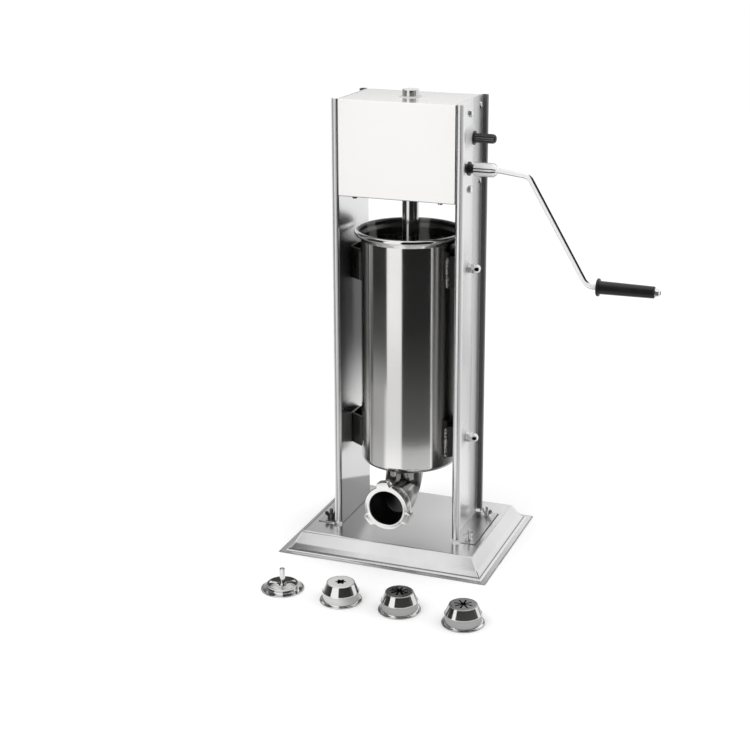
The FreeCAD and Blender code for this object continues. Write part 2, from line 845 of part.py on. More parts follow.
def crossbar(flat, flange_end):
    # Heavy strap between the webs; its ends turn along the webs and take the middle screws.
    up = flange_end > flat
    path = [
        (-web_inner, flange_end, 0),
        (-web_inner, flat, crossbar_bend_radius),
        (web_inner, flat, crossbar_bend_radius),
        (web_inner, flange_end, 0),
    ]
    section = strip(path, crossbar_sheet if up else -crossbar_sheet)
    bar = prism(section, "xz", -crossbar_front, crossbar_rear)
    low = min(flat, flange_end) - cut_margin
    high = max(flat, flange_end) + cut_margin
    bar = bar.cut(round_z(low, high, rod_bush_d / 2 + hole_clearance))
    for y, z in crossbar_screw_places():
        bar = bar.cut(round_x(-web_inner - cut_margin, web_inner + cut_margin, web_screw_d / 2 + hole_clearance, y, z))
    for x, y in bearing_screw_places():
        bar = bar.cut(round_z(low, high, small_screw_d / 2 + hole_clearance, x, y))
    return bar


def bearing_screw_places():
    x = bearing_plate_x + bearing_plate_sheet + (bearing_plate_flange - bearing_plate_sheet) / 2
    return [(x, -bearing_plate_front + bearing_screw_inset), (x, bearing_plate_rear - bearing_screw_inset)]


def bearing_plate():
    end = bearing_plate_x + bearing_plate_flange
    section = strip([
        (end, lower_crossbar_top, 0),
        (bearing_plate_x, lower_crossbar_top, bearing_plate_bend_radius),
        (bearing_plate_x, upper_crossbar_low, bearing_plate_bend_radius),
        (end, upper_crossbar_low, 0),
    ], -bearing_plate_sheet)
    plate = prism(section, "xz", -bearing_plate_front, bearing_plate_rear)
    for y, z in ((upper_shaft_y, upper_shaft_z), (lower_shaft_y, lower_shaft_z)):
        hole = round_x(bearing_plate_x - cut_margin, bearing_plate_x + bearing_plate_sheet + cut_margin, bush_d / 2 + hole_clearance, y, z)
        plate = plate.cut(hole)
    for x, y in bearing_screw_places():
        hole = round_z(lower_crossbar_top - cut_margin, upper_crossbar_low + cut_margin, small_screw_d / 2 + hole_clearance, x, y)
        plate = plate.cut(hole)
    return plate


def bearing_screws():
    screws = []
    for x, y in bearing_screw_places():
        low_face = lower_crossbar_top + bearing_plate_sheet
        high_face = upper_crossbar_low - bearing_plate_sheet
        for face, tip in ((low_face, floor_high + panel_clearance), (high_face, upper_crossbar_top - panel_clearance)):
            screws.append(pan_screw_z(face, tip, x, y, small_screw_d, small_screw_head_d, small_screw_head_height))
    return screws


def upper_rod_bush():
    low = upper_crossbar_low - rod_bush_tail
    return turned_z([
        (rod_r + bore_clearance, low, 0),
        (rod_bush_d / 2, low, 0),
        (rod_bush_d / 2, head_top, 0),
        (rod_bush_flange_d / 2, head_top, 0),
        (rod_bush_flange_d / 2, head_top + rod_bush_flange, bush_edge_radius),
        (rod_r + bore_clearance, head_top + rod_bush_flange, 0),
    ])


def lower_rod_bush():
    high = lower_crossbar_top + rod_bush_tail
    low = floor_low - rod_bush_flange
    return turned_z([
        (rod_r + bore_clearance, low, 0),
        (rod_bush_flange_d / 2, low, 0),
        (rod_bush_flange_d / 2, floor_low, 0),
        (rod_bush_d / 2, floor_low, 0),
        (rod_bush_d / 2, high, 0),
        (rod_r + bore_clearance, high, 0),
    ])


def web_bush(y, z, nose):
    # Flanged bush in a web, flange outside; the lower one has a nose that spaces the crank.
    inside = web_inner - bush_inner_length
    flange_end = web_outer + bush_flange
    corners = [
        (inside, shaft_r + bore_clearance, 0),
        (inside, bush_d / 2, 0),
        (web_outer, bush_d / 2, 0),
        (web_outer, bush_flange_d / 2, 0),
        (flange_end, bush_flange_d / 2, bush_edge_radius),
    ]
    if nose:
        end = flange_end + bush_nose_length
        corners += [(flange_end, bush_nose_d / 2, 0), (end, bush_nose_d / 2, 0), (end, shaft_end_r + bore_clearance, 0)]
        corners += [(flange_end + face_gap, shaft_end_r + bore_clearance, 0)]
        corners += [(flange_end + face_gap, shaft_r + bore_clearance, 0)]
    else:
        corners += [(flange_end, shaft_r + bore_clearance, 0)]
    return turned_x(corners, y, z)


def plate_bush(y, z):
    # Flanged bush in the bearing plate, flange towards the rod.
    return turned_x([
        (bearing_plate_x - bush_flange, shaft_r + bore_clearance, 0),
        (bearing_plate_x - bush_flange, bush_flange_d / 2, 0),
        (bearing_plate_x, bush_flange_d / 2, 0),
        (bearing_plate_x, bush_d / 2, 0),
        (bearing_plate_x + bearing_plate_sheet + plate_bush_tail, bush_d / 2, 0),
        (bearing_plate_x + bearing_plate_sheet + plate_bush_tail, shaft_r + bore_clearance, 0),
    ], y, z)


# ---- rod and piston --------------------------------------------------------
def rack_gaps():
    # Straight-sided tooth gaps; one gap is centred on the pinion's height.
    pitch = math.pi * rack_module
    root = rack_pitch_plane - pinion_addendum - rack_root_clearance
    tip = rack_pitch_plane + rack_addendum
    slope = math.tan(math.radians(pressure_angle))
    half_pitch_gap = (pitch / 2 + tooth_backlash / 2) / 2
    half_root = half_pitch_gap - (rack_pitch_plane - root) * slope
    beyond = rod_r + cut_margin
    half_tip = half_pitch_gap + (tip - rack_pitch_plane) * slope
    first = math.ceil((rack_low + half_tip - upper_shaft_z) / pitch)
    last = math.floor((rack_high - half_tip - upper_shaft_z) / pitch)
    gaps = []
    for i in range(first, last + 1):
        z = upper_shaft_z + i * pitch
        corners = [(root, z - half_root, 0), (tip, z - half_tip, 0), (beyond, z - half_tip, 0)]
        corners += [(beyond, z + half_tip, 0), (tip, z + half_tip, 0), (root, z + half_root, 0)]
        gaps.append(prism(corners, "yz", -rod_r, rod_r))
    gaps.append(box(-rod_r, rod_r, tip, beyond, rack_low, rack_high))
    return gaps


def rack_rod():
    spigot_end = piston_low + piston_recess_depth - piston_washer_thickness - piston_nut_height
    rod = turned_z([
        (0, spigot_end, 0),
        (rod_spigot_d / 2, spigot_end, 0),
        (rod_spigot_d / 2, piston_high, 0),
        (rod_r, piston_high, 0),
        (rod_r, rod_top - rod_chamfer, 0),
        (rod_r - rod_chamfer, rod_top, 0),
        (0, rod_top, 0),
    ])
    return rod.cut(rack_gaps())


def piston_disc():
    r = piston_d / 2
    return turned_z([
        (rod_spigot_d / 2, piston_low + piston_recess_depth, 0),
        (piston_recess_d / 2, piston_low + piston_recess_depth, 0),
        (piston_recess_d / 2, piston_low, 0),
        (r, piston_low, piston_edge_radius),
        (r, seal_low, 0),
        (r - seal_depth, seal_low, 0),
        (r - seal_depth, seal_high, 0),
        (r, seal_high, 0),
        (r, piston_high, piston_top_radius),
        (rod_spigot_d / 2, piston_high, 0),
    ])


def piston_seal():
    inner = piston_d / 2 - seal_depth
    outer = barrel_inner_r - seal_clearance
    return turned_z([
        (inner, seal_low, 0),
        (outer, seal_low, seal_edge_radius),
        (outer, seal_high, seal_edge_radius),
        (inner, seal_high, 0),
    ])


def piston_washer():
    top = piston_low + piston_recess_depth
    ring = round_z(top - piston_washer_thickness, top, piston_washer_d / 2)
    return ring.cut(round_z(top - piston_washer_thickness, top, rod_spigot_d / 2))


def piston_nut():
    top = piston_low + piston_recess_depth - piston_washer_thickness
    nut = hex_z(top - piston_nut_height, top, piston_nut_flats)
    return nut.cut(round_z(top - piston_nut_height, top, rod_spigot_d / 2))


# ---- gears and shafts ------------------------------------------------------
def involute(angle):
    return math.tan(angle) - angle


def gear_outline(module, teeth, addendum, dedendum, tooth_angle, y, z):
    # Involute teeth in short straight runs; one tooth points along tooth_angle (degrees from +Y to +Z).
    pitch_r = module * teeth / 2
    pressure = math.radians(pressure_angle)
    base_r = pitch_r * math.cos(pressure)
    half_tooth = (math.pi * module / 2 - tooth_backlash / 2) / 2 / pitch_r
    tip_r = pitch_r + addendum
    root_r = pitch_r - dedendum
    start_r = max(base_r, root_r)
    steps = 4
    flank = [(root_r, half_tooth + involute(pressure))] if root_r < base_r else []
    for i in range(steps + 1):
        r = start_r + (tip_r - start_r) * i / steps
        flank.append((r, half_tooth + involute(pressure) - involute(math.acos(min(base_r / r, 1)))))
    corners = []
    for i in range(teeth):
        middle = math.radians(tooth_angle) + 2 * math.pi * i / teeth
        rising = [(r, middle - a) for r, a in flank]
        falling = [(r, middle + a) for r, a in reversed(flank)]
        for r, a in rising + falling:
            corners.append((y + r * math.cos(a), z + r * math.sin(a), 0))
    return corners


def pinion():
    corners = gear_outline(rack_module, pinion_teeth, pinion_addendum, pinion_dedendum,
                           180, upper_shaft_y, upper_shaft_z)
    half = pinion_width / 2
    wheel = prism(corners, "yz", -half, half)
    hub = round_x(half, half + pinion_hub_length, pinion_hub_d / 2, upper_shaft_y, upper_shaft_z)
    blank = joined([wheel, hub])
    blank = blank.cut(round_x(-half - cut_margin, half + pinion_hub_length + cut_margin, shaft_r, upper_shaft_y, upper_shaft_z))
    return blank.cut(pinion_pin())


def mesh_angle():
    # Direction from the upper shaft to the lower one, from +Y towards +Z.
    return math.degrees(math.atan2(lower_shaft_z - upper_shaft_z, lower_shaft_y - upper_shaft_y))


def spur_gear(teeth, tooth_angle, y, z, hub_d, pin):
    corners = gear_outline(gear_module, teeth, gear_module, gear_dedendum, tooth_angle, y, z)
    wheel = prism(corners, "yz", gear_x, gear_x + gear_width)
    hub_end = gear_x + gear_width + gear_hub_length
    hub = round_x(gear_x + gear_width, hub_end, hub_d / 2, y, z)
    blank = joined([wheel, hub])
    return blank.cut(round_x(gear_x - cut_margin, hub_end + cut_margin, shaft_r, y, z)).cut(pin)


def large_gear():
    return spur_gear(large_gear_teeth, mesh_angle(), upper_shaft_y, upper_shaft_z, large_hub_d, large_gear_pin())


def small_gear():
    half_pitch = 180 / small_gear_teeth
    angle = mesh_angle() + 180 + half_pitch
    return spur_gear(small_gear_teeth, angle, lower_shaft_y, lower_shaft_z, small_hub_d, small_gear_pin())


def cross_pin(x, y, z, hub_d):
    return round_z(z - hub_d / 2, z + hub_d / 2, hub_pin_d / 2, x, y)


def pinion_pin():
    return cross_pin(pinion_width / 2 + pinion_hub_length / 2, upper_shaft_y, upper_shaft_z, pinion_hub_d)


def large_gear_pin():
    return cross_pin(gear_x + gear_width + gear_hub_length / 2, upper_shaft_y, upper_shaft_z, large_hub_d)


def small_gear_pin():
    return cross_pin(gear_x + gear_width + gear_hub_length / 2, lower_shaft_y, lower_shaft_z, small_hub_d)


def clip_groove(x, y, z):
    ring = round_x(x, x + clip_thickness, shaft_r + cut_margin, y, z)
    return ring.cut(round_x(x, x + clip_thickness, shaft_r - clip_groove_depth, y, z))


def clip(x, y, z):
    # Open ring that snaps into a groove, open downwards.
    ring = round_x(x, x + clip_thickness, clip_d / 2, y, z)
    ring = ring.cut(round_x(x - cut_margin, x + clip_thickness + cut_margin, shaft_r - clip_groove_depth, y, z))
    return ring.cut(box(x - cut_margin, x + clip_thickness + cut_margin, y - shaft_r * 0.6, y + shaft_r * 0.6, z - clip_d, z))


def upper_clip_x():
    return -(web_inner - bush_inner_length) + face_gap


def lower_clip_x():
    return bearing_plate_x - bush_flange - face_gap - clip_thickness


def upper_shaft():
    shaft = turned_x([
        (-upper_shaft_left, 0, 0),
        (-upper_shaft_left, shaft_r, shaft_edge_radius),
        (shoulder_x, shaft_r, 0),
        (shoulder_x, shaft_end_r, 0),
        (upper_shaft_end, shaft_end_r, shaft_edge_radius),
        (upper_shaft_end, 0, 0),
    ], upper_shaft_y, upper_shaft_z)
    for tool in (pinion_pin(), large_gear_pin(), clip_groove(upper_clip_x(), upper_shaft_y, upper_shaft_z)):
        shaft = shaft.cut(tool)
    return shaft


def lower_shaft():
    shaft = turned_x([
        (lower_shaft_start, 0, 0),
        (lower_shaft_start, shaft_r, shaft_edge_radius),
        (shoulder_x, shaft_r, 0),
        (shoulder_x, shaft_end_r, 0),
        (lower_shaft_end, shaft_end_r, shaft_edge_radius),
        (lower_shaft_end, 0, 0),
    ], lower_shaft_y, lower_shaft_z)
    return shaft.cut(small_gear_pin()).cut(clip_groove(lower_clip_x(), lower_shaft_y, lower_shaft_z))


def shaft_cap():
    # Ribbed sleeve with a domed end over the idle shaft end.
    r = shaft_cap_d / 2
    cap = turned_x([
        (shaft_cap_start, 0, 0),
        (shaft_cap_start, r, 0),
        (shaft_cap_end, r, r * 0.8),
        (shaft_cap_end, 0, 0),
    ], upper_shaft_y, upper_shaft_z)
    cap = cap.cut(round_x(shaft_cap_start - cut_margin, upper_shaft_end, shaft_end_r, upper_shaft_y, upper_shaft_z))
    grooves = []
    for i in range(shaft_cap_ribs):
        angle = 2 * math.pi * i / shaft_cap_ribs
        y = upper_shaft_y + (r + panel_clearance) * math.cos(angle)
        z = upper_shaft_z + (r + panel_clearance) * math.sin(angle)
        start = shaft_cap_start + shaft_cap_collar
        grooves.append(round_x(start, shaft_cap_end + cut_margin, shaft_cap_groove_d / 2, y, z))
    return cap.cut(grooves)


# ---- crank -----------------------------------------------------------------
def hub_screw():
    low = lower_shaft_z - hub_d / 2 + hub_screw_sink
    return round_z(low, lower_shaft_z - shaft_end_r, hub_screw_d / 2, hub_screw_x, lower_shaft_y)


def crank_hub():
    hub = turned_x([
        (hub_start, 0, 0),
        (hub_start, hub_d / 2, shaft_edge_radius),
        (hub_end - hub_taper, hub_d / 2, hub_shoulder_radius),
        (hub_end, hub_nose_d / 2, shaft_edge_radius),
        (hub_end, 0, 0),
    ], lower_shaft_y, lower_shaft_z)
    hub = hub.cut(round_x(hub_start - cut_margin, lower_shaft_end, shaft_end_r, lower_shaft_y, lower_shaft_z))
    hub = hub.cut(round_x(crank_rod_start, hub_end + cut_margin, crank_rod_d / 2, lower_shaft_y, lower_shaft_z))
    screw_hole = round_z(lower_shaft_z - hub_d, lower_shaft_z - shaft_end_r, hub_screw_d / 2, hub_screw_x, lower_shaft_y)
    return hub.cut(screw_hole)


def crank_rod():
    axis_z = lower_shaft_z
    grip_z = axis_z - crank_throw
    spindle_end = grip_end + face_gap
    path = [
        (crank_rod_start, axis_z, 0),
        (crank_shoulder_x, axis_z, crank_shoulder_radius),
        (crank_elbow_x, axis_z - crank_elbow_drop, crank_elbow_radius),
        (crank_grip_bend_x, grip_z, crank_grip_bend_radius),
        (spindle_end, grip_z, 0),
    ]
    edges = rounded_line(path, lambda p: Vector(p.x, lower_shaft_y, p.y))
    rod = swept(edges, crank_rod_d / 2, Vector(crank_rod_start, lower_shaft_y, axis_z), Vector(1, 0, 0))
    thread = turned_x([
        (spindle_end - weld_overlap, 0, 0),
        (spindle_end - weld_overlap, grip_thread_d / 2, 0),
        (crank_tip, grip_thread_d / 2, shaft_edge_radius),
        (crank_tip, 0, 0),
    ], lower_shaft_y, grip_z)
    return joined([rod, thread])


def grip():
    bore = crank_rod_d / 2 + bore_clearance
    return turned_x([
        (grip_start, bore, 0),
        (grip_start, grip_flange_d / 2, grip_flange_radius),
        (grip_start + grip_flange_width, grip_flange_d / 2, grip_flange_radius),
        (grip_start + grip_flange_width, grip_d / 2, shaft_edge_radius),
        (grip_end, grip_end_d / 2, grip_end_radius),
        (grip_end, bore, 0),
    ], lower_shaft_y, lower_shaft_z - crank_throw)


def grip_washer():
    start = grip_end + face_gap
    z = lower_shaft_z - crank_throw
    ring = round_x(start, start + grip_washer_thickness, grip_washer_d / 2, lower_shaft_y, z)
    return ring.cut(round_x(start - cut_margin, start + grip_washer_thickness + cut_margin, grip_thread_d / 2, lower_shaft_y, z))


def grip_nut():
    start = grip_end + face_gap + grip_washer_thickness
    z = lower_shaft_z - crank_throw
    nut = hex_x(start, start + grip_nut_height, grip_nut_flats, lower_shaft_y, z)
    return nut.cut(round_x(start - cut_margin, start + grip_nut_height + cut_margin, grip_thread_d / 2, lower_shaft_y, z))


# ---- nozzles and core insert -----------------------------------------------
def nozzle(x, y, openings):
    # Spun cup with a flange at the foot and its pattern cut through the flat top.
    path = [
        (nozzle_flange_d / 2, 0, 0),
        (nozzle_band_d / 2 - nozzle_wall, 0, 0),
        (nozzle_band_d / 2 - nozzle_wall, nozzle_band_top, 0),
        (nozzle_top_d / 2 - nozzle_wall, nozzle_height - nozzle_wall, 0),
        (0, nozzle_height - nozzle_wall, 0),
        (0, nozzle_height, 0),
        (nozzle_top_d / 2, nozzle_height, nozzle_edge_radius),
        (nozzle_band_d / 2, nozzle_band_top, nozzle_shoulder_radius),
        (nozzle_band_d / 2, nozzle_flange_thickness, nozzle_foot_radius),
        (nozzle_flange_d / 2, nozzle_flange_thickness, rim_radius),
    ]
    cup = turned_z(path)
    cup = cup.cut(openings)
    cup.translate(Vector(x, y, 0))
    return cup


def star_cutter():
    corners = []
    for i in range(small_star_points):
        for turn, d, rounding in ((0, small_star_d, small_star_tip_radius), (0.5, small_star_root_d, small_star_root_radius)):
            angle = math.radians(small_star_turn + 360 * (i + turn) / small_star_points)
            corners.append((d / 2 * math.cos(angle), d / 2 * math.sin(angle), rounding))
    return prism(corners, "xy", nozzle_height - 2 * nozzle_wall, nozzle_height + cut_margin)


def slot_cutters(width):
    slots = []
    for i in range(slot_star_slots):
        slot = prism([
            (0, -width / 2, 0),
            (slot_star_d / 2, -width / 2, width * 0.45),
            (slot_star_d / 2, width / 2, width * 0.45),
            (0, width / 2, 0),
        ], "xy", nozzle_height - 2 * nozzle_wall, nozzle_height + cut_margin)
        slot.rotate(Vector(0, 0, 0), Vector(0, 0, 1), 360 * i / slot_star_slots)
        slots.append(slot)
    return [joined(slots)]


def core_insert():
    ring_r = core_ring_d / 2
    inner_r = ring_r - core_ring_wall
    plate_top = core_ring_height - core_plate_drop
    plate_low = plate_top - core_plate_thickness
    shell = turned_z([
        (inner_r, 0, 0),
        (core_flange_d / 2, 0, 0),
        (core_flange_d / 2, core_flange_thickness, rim_radius),
        (ring_r, core_flange_thickness, core_edge_radius),
        (ring_r, core_ring_height, core_edge_radius),
        (inner_r, core_ring_height, 0),
    ])
    pieces = [shell, round_z(plate_low, plate_top, core_hub_d / 2)]
    half = core_spoke_width / 2
    reach = inner_r + core_spoke_tuck
    for i in range(core_spokes):
        spoke = prism([(0, -half, 0), (reach, -half, 0), (reach, half, 0), (0, half, 0)], "xy", plate_low, plate_top)
        spoke.rotate(Vector(0, 0, 0), Vector(0, 0, 1), core_spoke_angle + 360 * i / core_spokes)
        pieces.append(spoke)
    insert = joined(pieces).cut(round_z(plate_low - cut_margin, plate_top + cut_margin, core_pin_d / 2))
    insert.translate(Vector(core_x, core_y, 0))
    return insert


def core_pin():
    plate_low = core_ring_height - core_plate_drop - core_plate_thickness
    return turned_z([
        (0, plate_low, 0),
        (core_pin_d / 2, plate_low, 0),
        (core_pin_d / 2, core_pin_top, core_edge_radius),
        (0, core_pin_top, 0),
    ], core_x, core_y)


# ---- write every node ------------------------------------------------------
def wing_nuts():
    turns = (25, -40, 60, -15)
    return [wing_nut(x, y, turn) for (x, y), turn in zip(foot_bolt_places(), turns)]


nodes = {
    "base_pan": base_pan(),
    "left_column": left_column(),
    "right_column": right_column(),
    "foot_bolts": [foot_bolt(x, y) for x, y in foot_bolt_places()],
    "foot_washers": [foot_washer(x, y) for x, y in foot_bolt_places()],
    "wing_nuts": wing_nuts(),
    "barrel": barrel(),
    "barrel_bolts": barrel_fasteners(barrel_bolt),
    "barrel_hex_nuts": barrel_fasteners(barrel_nut),
    "barrel_cap_nuts": barrel_fasteners(cap_nut),
    "outlet_elbow": outlet_elbow(),
    "threaded_collar": threaded_collar(),
    "outlet_ring_nut": ring_nut(),
    "head_cover": head_cover(),
    "head_floor": head_floor(),
    "head_floor_screws": floor_screws(),
    "crossbar_screws": crossbar_screws(),
    "cover_screws": cover_screws(),
    "upper_crossbar": crossbar(upper_crossbar_top, upper_crossbar_top - crossbar_flange),
    "lower_crossbar": crossbar(floor_high, floor_high + crossbar_flange),
    "bearing_plate": bearing_plate(),
    "bearing_plate_screws": bearing_screws(),
    "upper_rod_bush": upper_rod_bush(),
    "lower_rod_bush": lower_rod_bush(),
    "upper_shaft_bush": web_bush(upper_shaft_y, upper_shaft_z, False),
    "upper_shaft_left_bush": mirrored(web_bush(upper_shaft_y, upper_shaft_z, False)),
    "upper_shaft_middle_bush": plate_bush(upper_shaft_y, upper_shaft_z),
    "lower_shaft_bush": web_bush(lower_shaft_y, lower_shaft_z, True),
    "lower_shaft_inner_bush": plate_bush(lower_shaft_y, lower_shaft_z),
    "rack_rod": rack_rod(),
    "piston_disc": piston_disc(),
    "piston_seal": piston_seal(),
    "piston_washer": piston_washer(),
    "piston_nut": piston_nut(),
    "upper_shaft": upper_shaft(),
    "pinion": pinion(),
    "pinion_pin": pinion_pin(),
    "large_gear": large_gear(),
    "large_gear_pin": large_gear_pin(),
    "upper_shaft_clip": clip(upper_clip_x(), upper_shaft_y, upper_shaft_z),
    "shaft_cap": shaft_cap(),
    "lower_shaft": lower_shaft(),
    "small_gear": small_gear(),
    "small_gear_pin": small_gear_pin(),
    "lower_shaft_clip": clip(lower_clip_x(), lower_shaft_y, lower_shaft_z),
    "crank_hub": crank_hub(),
    "hub_screw": hub_screw(),
    "crank_rod": crank_rod(),
    "grip": grip(),
    "grip_washer": grip_washer(),
    "grip_nut": grip_nut(),
    "small_star_nozzle": nozzle(small_star_x, small_star_y, [star_cutter()]),
    "broad_star_nozzle": nozzle(broad_star_x, broad_star_y, slot_cutters(broad_slot_width)),
    "thin_star_nozzle": nozzle(thin_star_x, thin_star_y, slot_cutters(thin_slot_width)),
    "core_insert": core_insert(),
    "core_pin": core_pin(),
}
for name, level in bracket_levels.items():
    nodes[name + "_right_bracket"] = bracket(level)
    nodes[name + "_left_bracket"] = mirrored(bracket(level))

os.makedirs("parts", exist_ok=True)
for name, shape in nodes.items():
    if isinstance(shape, list):
        shape = Part.makeCompound(shape)
    shape.exportStep("parts/" + name + ".step")
    solids = shape.Solids
    volume = sum(s.Volume for s in solids)
    print(name, len(solids), "solid(s)", round(volume / 1000, 2), "cm3", "" if shape.isValid() else "NOT VALID")
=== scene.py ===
from math import atan2, ceil, cos, degrees, hypot, pi, radians, sin, sqrt, tan

import bmesh
import bpy
from mathutils import Matrix, Vector, noise


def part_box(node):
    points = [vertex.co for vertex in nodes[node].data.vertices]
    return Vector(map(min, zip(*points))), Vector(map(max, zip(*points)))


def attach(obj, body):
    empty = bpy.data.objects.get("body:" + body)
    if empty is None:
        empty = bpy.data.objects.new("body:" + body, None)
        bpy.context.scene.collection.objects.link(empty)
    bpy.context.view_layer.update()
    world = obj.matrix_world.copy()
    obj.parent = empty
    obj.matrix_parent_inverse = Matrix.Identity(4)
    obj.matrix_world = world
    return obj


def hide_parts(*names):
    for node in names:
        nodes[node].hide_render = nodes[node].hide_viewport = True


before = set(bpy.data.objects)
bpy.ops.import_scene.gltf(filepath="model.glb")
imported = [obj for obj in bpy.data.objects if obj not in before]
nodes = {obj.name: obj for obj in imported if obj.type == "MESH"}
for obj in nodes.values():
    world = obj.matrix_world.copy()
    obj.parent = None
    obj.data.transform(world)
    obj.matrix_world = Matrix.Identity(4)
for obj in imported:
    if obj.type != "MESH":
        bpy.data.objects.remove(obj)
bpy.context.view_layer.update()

mm = 0.001  # lengths of pieces are in millimetres, those of finishes, cards and lamps in metres


def added(name, data):
    thing = bpy.data.objects.new(name, data)
    bpy.context.scene.collection.objects.link(thing)
    return thing


camera = {
    "place": (717.574, -1975.924, 950.762),
    "right": (0.939662, 0.342097, 0.002263),
    "up": (-0.091383, 0.244624, 0.965302),
    "back": (0.329673, -0.907265, 0.261125),
    "lens": 72.706,
    "sensor": 36.0,
    "shift": (-0.04667, -0.11568),
    "clip": (0.05, 200.0),
}


def makeCamera():
    data = bpy.data.cameras.new("pressCamera")
    data.lens = camera["lens"]
    data.sensor_width = camera["sensor"]
    data.shift_x, data.shift_y = camera["shift"]
    data.clip_start, data.clip_end = camera["clip"]
    eye = added("pressCamera", data)
    turn = Matrix((camera["right"], camera["up"], camera["back"])).transposed()
    eye.matrix_world = Matrix.Translation(Vector(camera["place"]) * mm) @ turn.to_4x4()
    bpy.context.scene.camera = eye


makeCamera()
bpy.context.scene.view_settings.view_transform = "Standard"
print("camera set")


def maths(operation, swapped=False):
    # a method that adds a Math node
    return lambda wire, other: wire.tree.sum(operation, *((other, wire) if swapped else (wire, other)))


class Wire:
    # one socket of a node tree; plain sums on it add Math nodes
    def __init__(self, tree, socket):
        self.tree = tree
        self.socket = socket

    __add__, __radd__ = maths("ADD"), maths("ADD", swapped=True)
    __sub__, __rsub__ = maths("SUBTRACT"), maths("SUBTRACT", swapped=True)
    __mul__, __rmul__ = maths("MULTIPLY"), maths("MULTIPLY", swapped=True)
    __pow__ = maths("POWER")


class Tree:
    # a node tree that is filled through one method
    def __init__(self, tree):
        self.tree = tree
        tree.nodes.clear()

    def node(self, kind, inputs=None, output=0, **settings):
        made = self.tree.nodes.new("ShaderNode" + kind)
        for key, value in settings.items():
            setattr(made, key, value)
        for key, value in (inputs or {}).items():
            if isinstance(value, Wire):
                self.tree.links.new(value.socket, made.inputs[key])
            else:
                made.inputs[key].default_value = value
        return Wire(self, made.outputs[output]) if made.outputs else None

    def ramp(self, value, stops):
        made = self.node("ValToRGB", {"Fac": value})
        elements = made.socket.node.color_ramp.elements
        while len(elements) < len(stops):
            elements.new(0.5)
        for element, (place, level) in zip(elements, stops):
            element.position = place
            element.color = colour(level)
        return made

    def sum(self, operation, first, second):
        return self.node("Math", {0: first, 1: second}, operation=operation)

    def turn(self, across, along):
        # a direction as a share of a whole turn, with 0.5 straight along
        return self.sum("ARCTAN2", across, along) * (0.5 / pi) + 0.5

    def noise(self, scale, stretch=(1, 1, 1), detail=3.0, rough=0.5, offset=0.0):
        place = self.node("TexCoord", output="Object")
        mapping = {"Vector": place, "Scale": stretch, "Location": (offset, offset, offset)}
        mapped = self.node("Mapping", mapping)
        inputs = {"Vector": mapped, "Scale": scale, "Detail": detail, "Roughness": rough}
        return self.node("TexNoise", inputs, normalize=True)

    def apart(self, kind):
        spot = self.node("TexCoord", output=kind)
        parts = self.node("SeparateXYZ", {"Vector": spot}).socket.node.outputs
        return [Wire(self, parts[axis]) for axis in "XYZ"]

    def place(self):
        # metres across, deep and up, in the frame of the press
        return self.apart("Object")

    def outwards(self):
        # the way the surface looks, in the frame of the press
        return self.apart("Normal")

    def step(self, value, none, full):
        # 0 up to one end and 1 from the other; the ends come in either order
        inputs = {"Value": value, "From Min": none, "From Max": full}
        return self.node("MapRange", inputs, interpolation_type="SMOOTHSTEP")

    def blendColours(self, mask, low, high):
        inputs = {0: mask, 6: colour(low), 7: colour(high)}
        return self.node("Mix", inputs, output=2, data_type="RGBA", blend_type="MIX")

    def bump(self, height, distance, under=None):
        inputs = {"Height": height, "Strength": 1.0, "Distance": distance * mm}
        if under is not None:
            inputs["Normal"] = under
        return self.node("Bump", inputs)

    def rays(self, *kinds):
        # 1 for rays of a kind and 0 for others
        outputs = self.node("LightPath").socket.node.outputs
        return [Wire(self, outputs["Is " + kind + " Ray"]) for kind in kinds]

    def glow(self, strength):
        return self.node("Emission", {"Color": colour(1.0), "Strength": strength})


def colour(value):
    # a wire, a grey level or a tone of three as a colour input takes it
    if isinstance(value, Wire):
        return value
    return (*value, 1.0) if isinstance(value, tuple) else (value, value, value, 1.0)


def newFinish(name):
    material = bpy.data.materials.new(name)
    material.use_nodes = True
    return material, Tree(material.node_tree)


def closeFinish(tree, surface):
    tree.node("OutputMaterial", {"Surface": surface})


sheet = {
    "haze": ((0.35, 0.0), (0.68, 1.0)), "hazeShare": 0.6, "grainShare": 0.3, "grainRough": 0.8,
}


def steelFinish(name, tone, rough, wave, grain, smudge=0.05, soil=0.9, metal=1.0, patches=()):
    # polished sheet: slow waves (height, scale), fine grain (height, scales) and a cloudy haze
    # a patch is some masks, then the tone, roughness and metal share of a place; most patches are painted shade,
    # painted highlights or painted reflections, a few a plainly different finish
    material, tree = newFinish(name)
    cloud = tree.ramp(tree.noise(9.0, detail=5.0, rough=0.6), sheet["haze"])
    lines = tree.noise(1.0, stretch=grain[1], detail=2.0, rough=0.6, offset=3.0)
    soiled = tuple(c * soil for c in tone)
    paint = tree.blendColours(cloud * sheet["hazeShare"] + lines * sheet["grainShare"], tone, soiled)
    roughness = rough + cloud * smudge + (lines - 0.5) * (smudge * sheet["grainRough"])
    slow = tree.noise(wave[1], detail=1.0, rough=0.4, offset=7.0)
    surface = tree.bump(slow, wave[0])
    surface = tree.bump(lines, grain[0], under=surface)
    plain = metal
    for *masks, patchTone, patchRough, patchMetal in patches:
        here = marked(tree, *masks)
        paint = tree.blendColours(here, paint, patchTone)
        roughness = roughness + here * (patchRough - rough)
        if patchMetal != plain:
            metal = metal + here * (patchMetal - plain)
    inputs = {"Base Color": paint, "Roughness": roughness, "Metallic": metal, "Normal": surface}
    closeFinish(tree, tree.node("BsdfPrincipled", inputs))
    return material


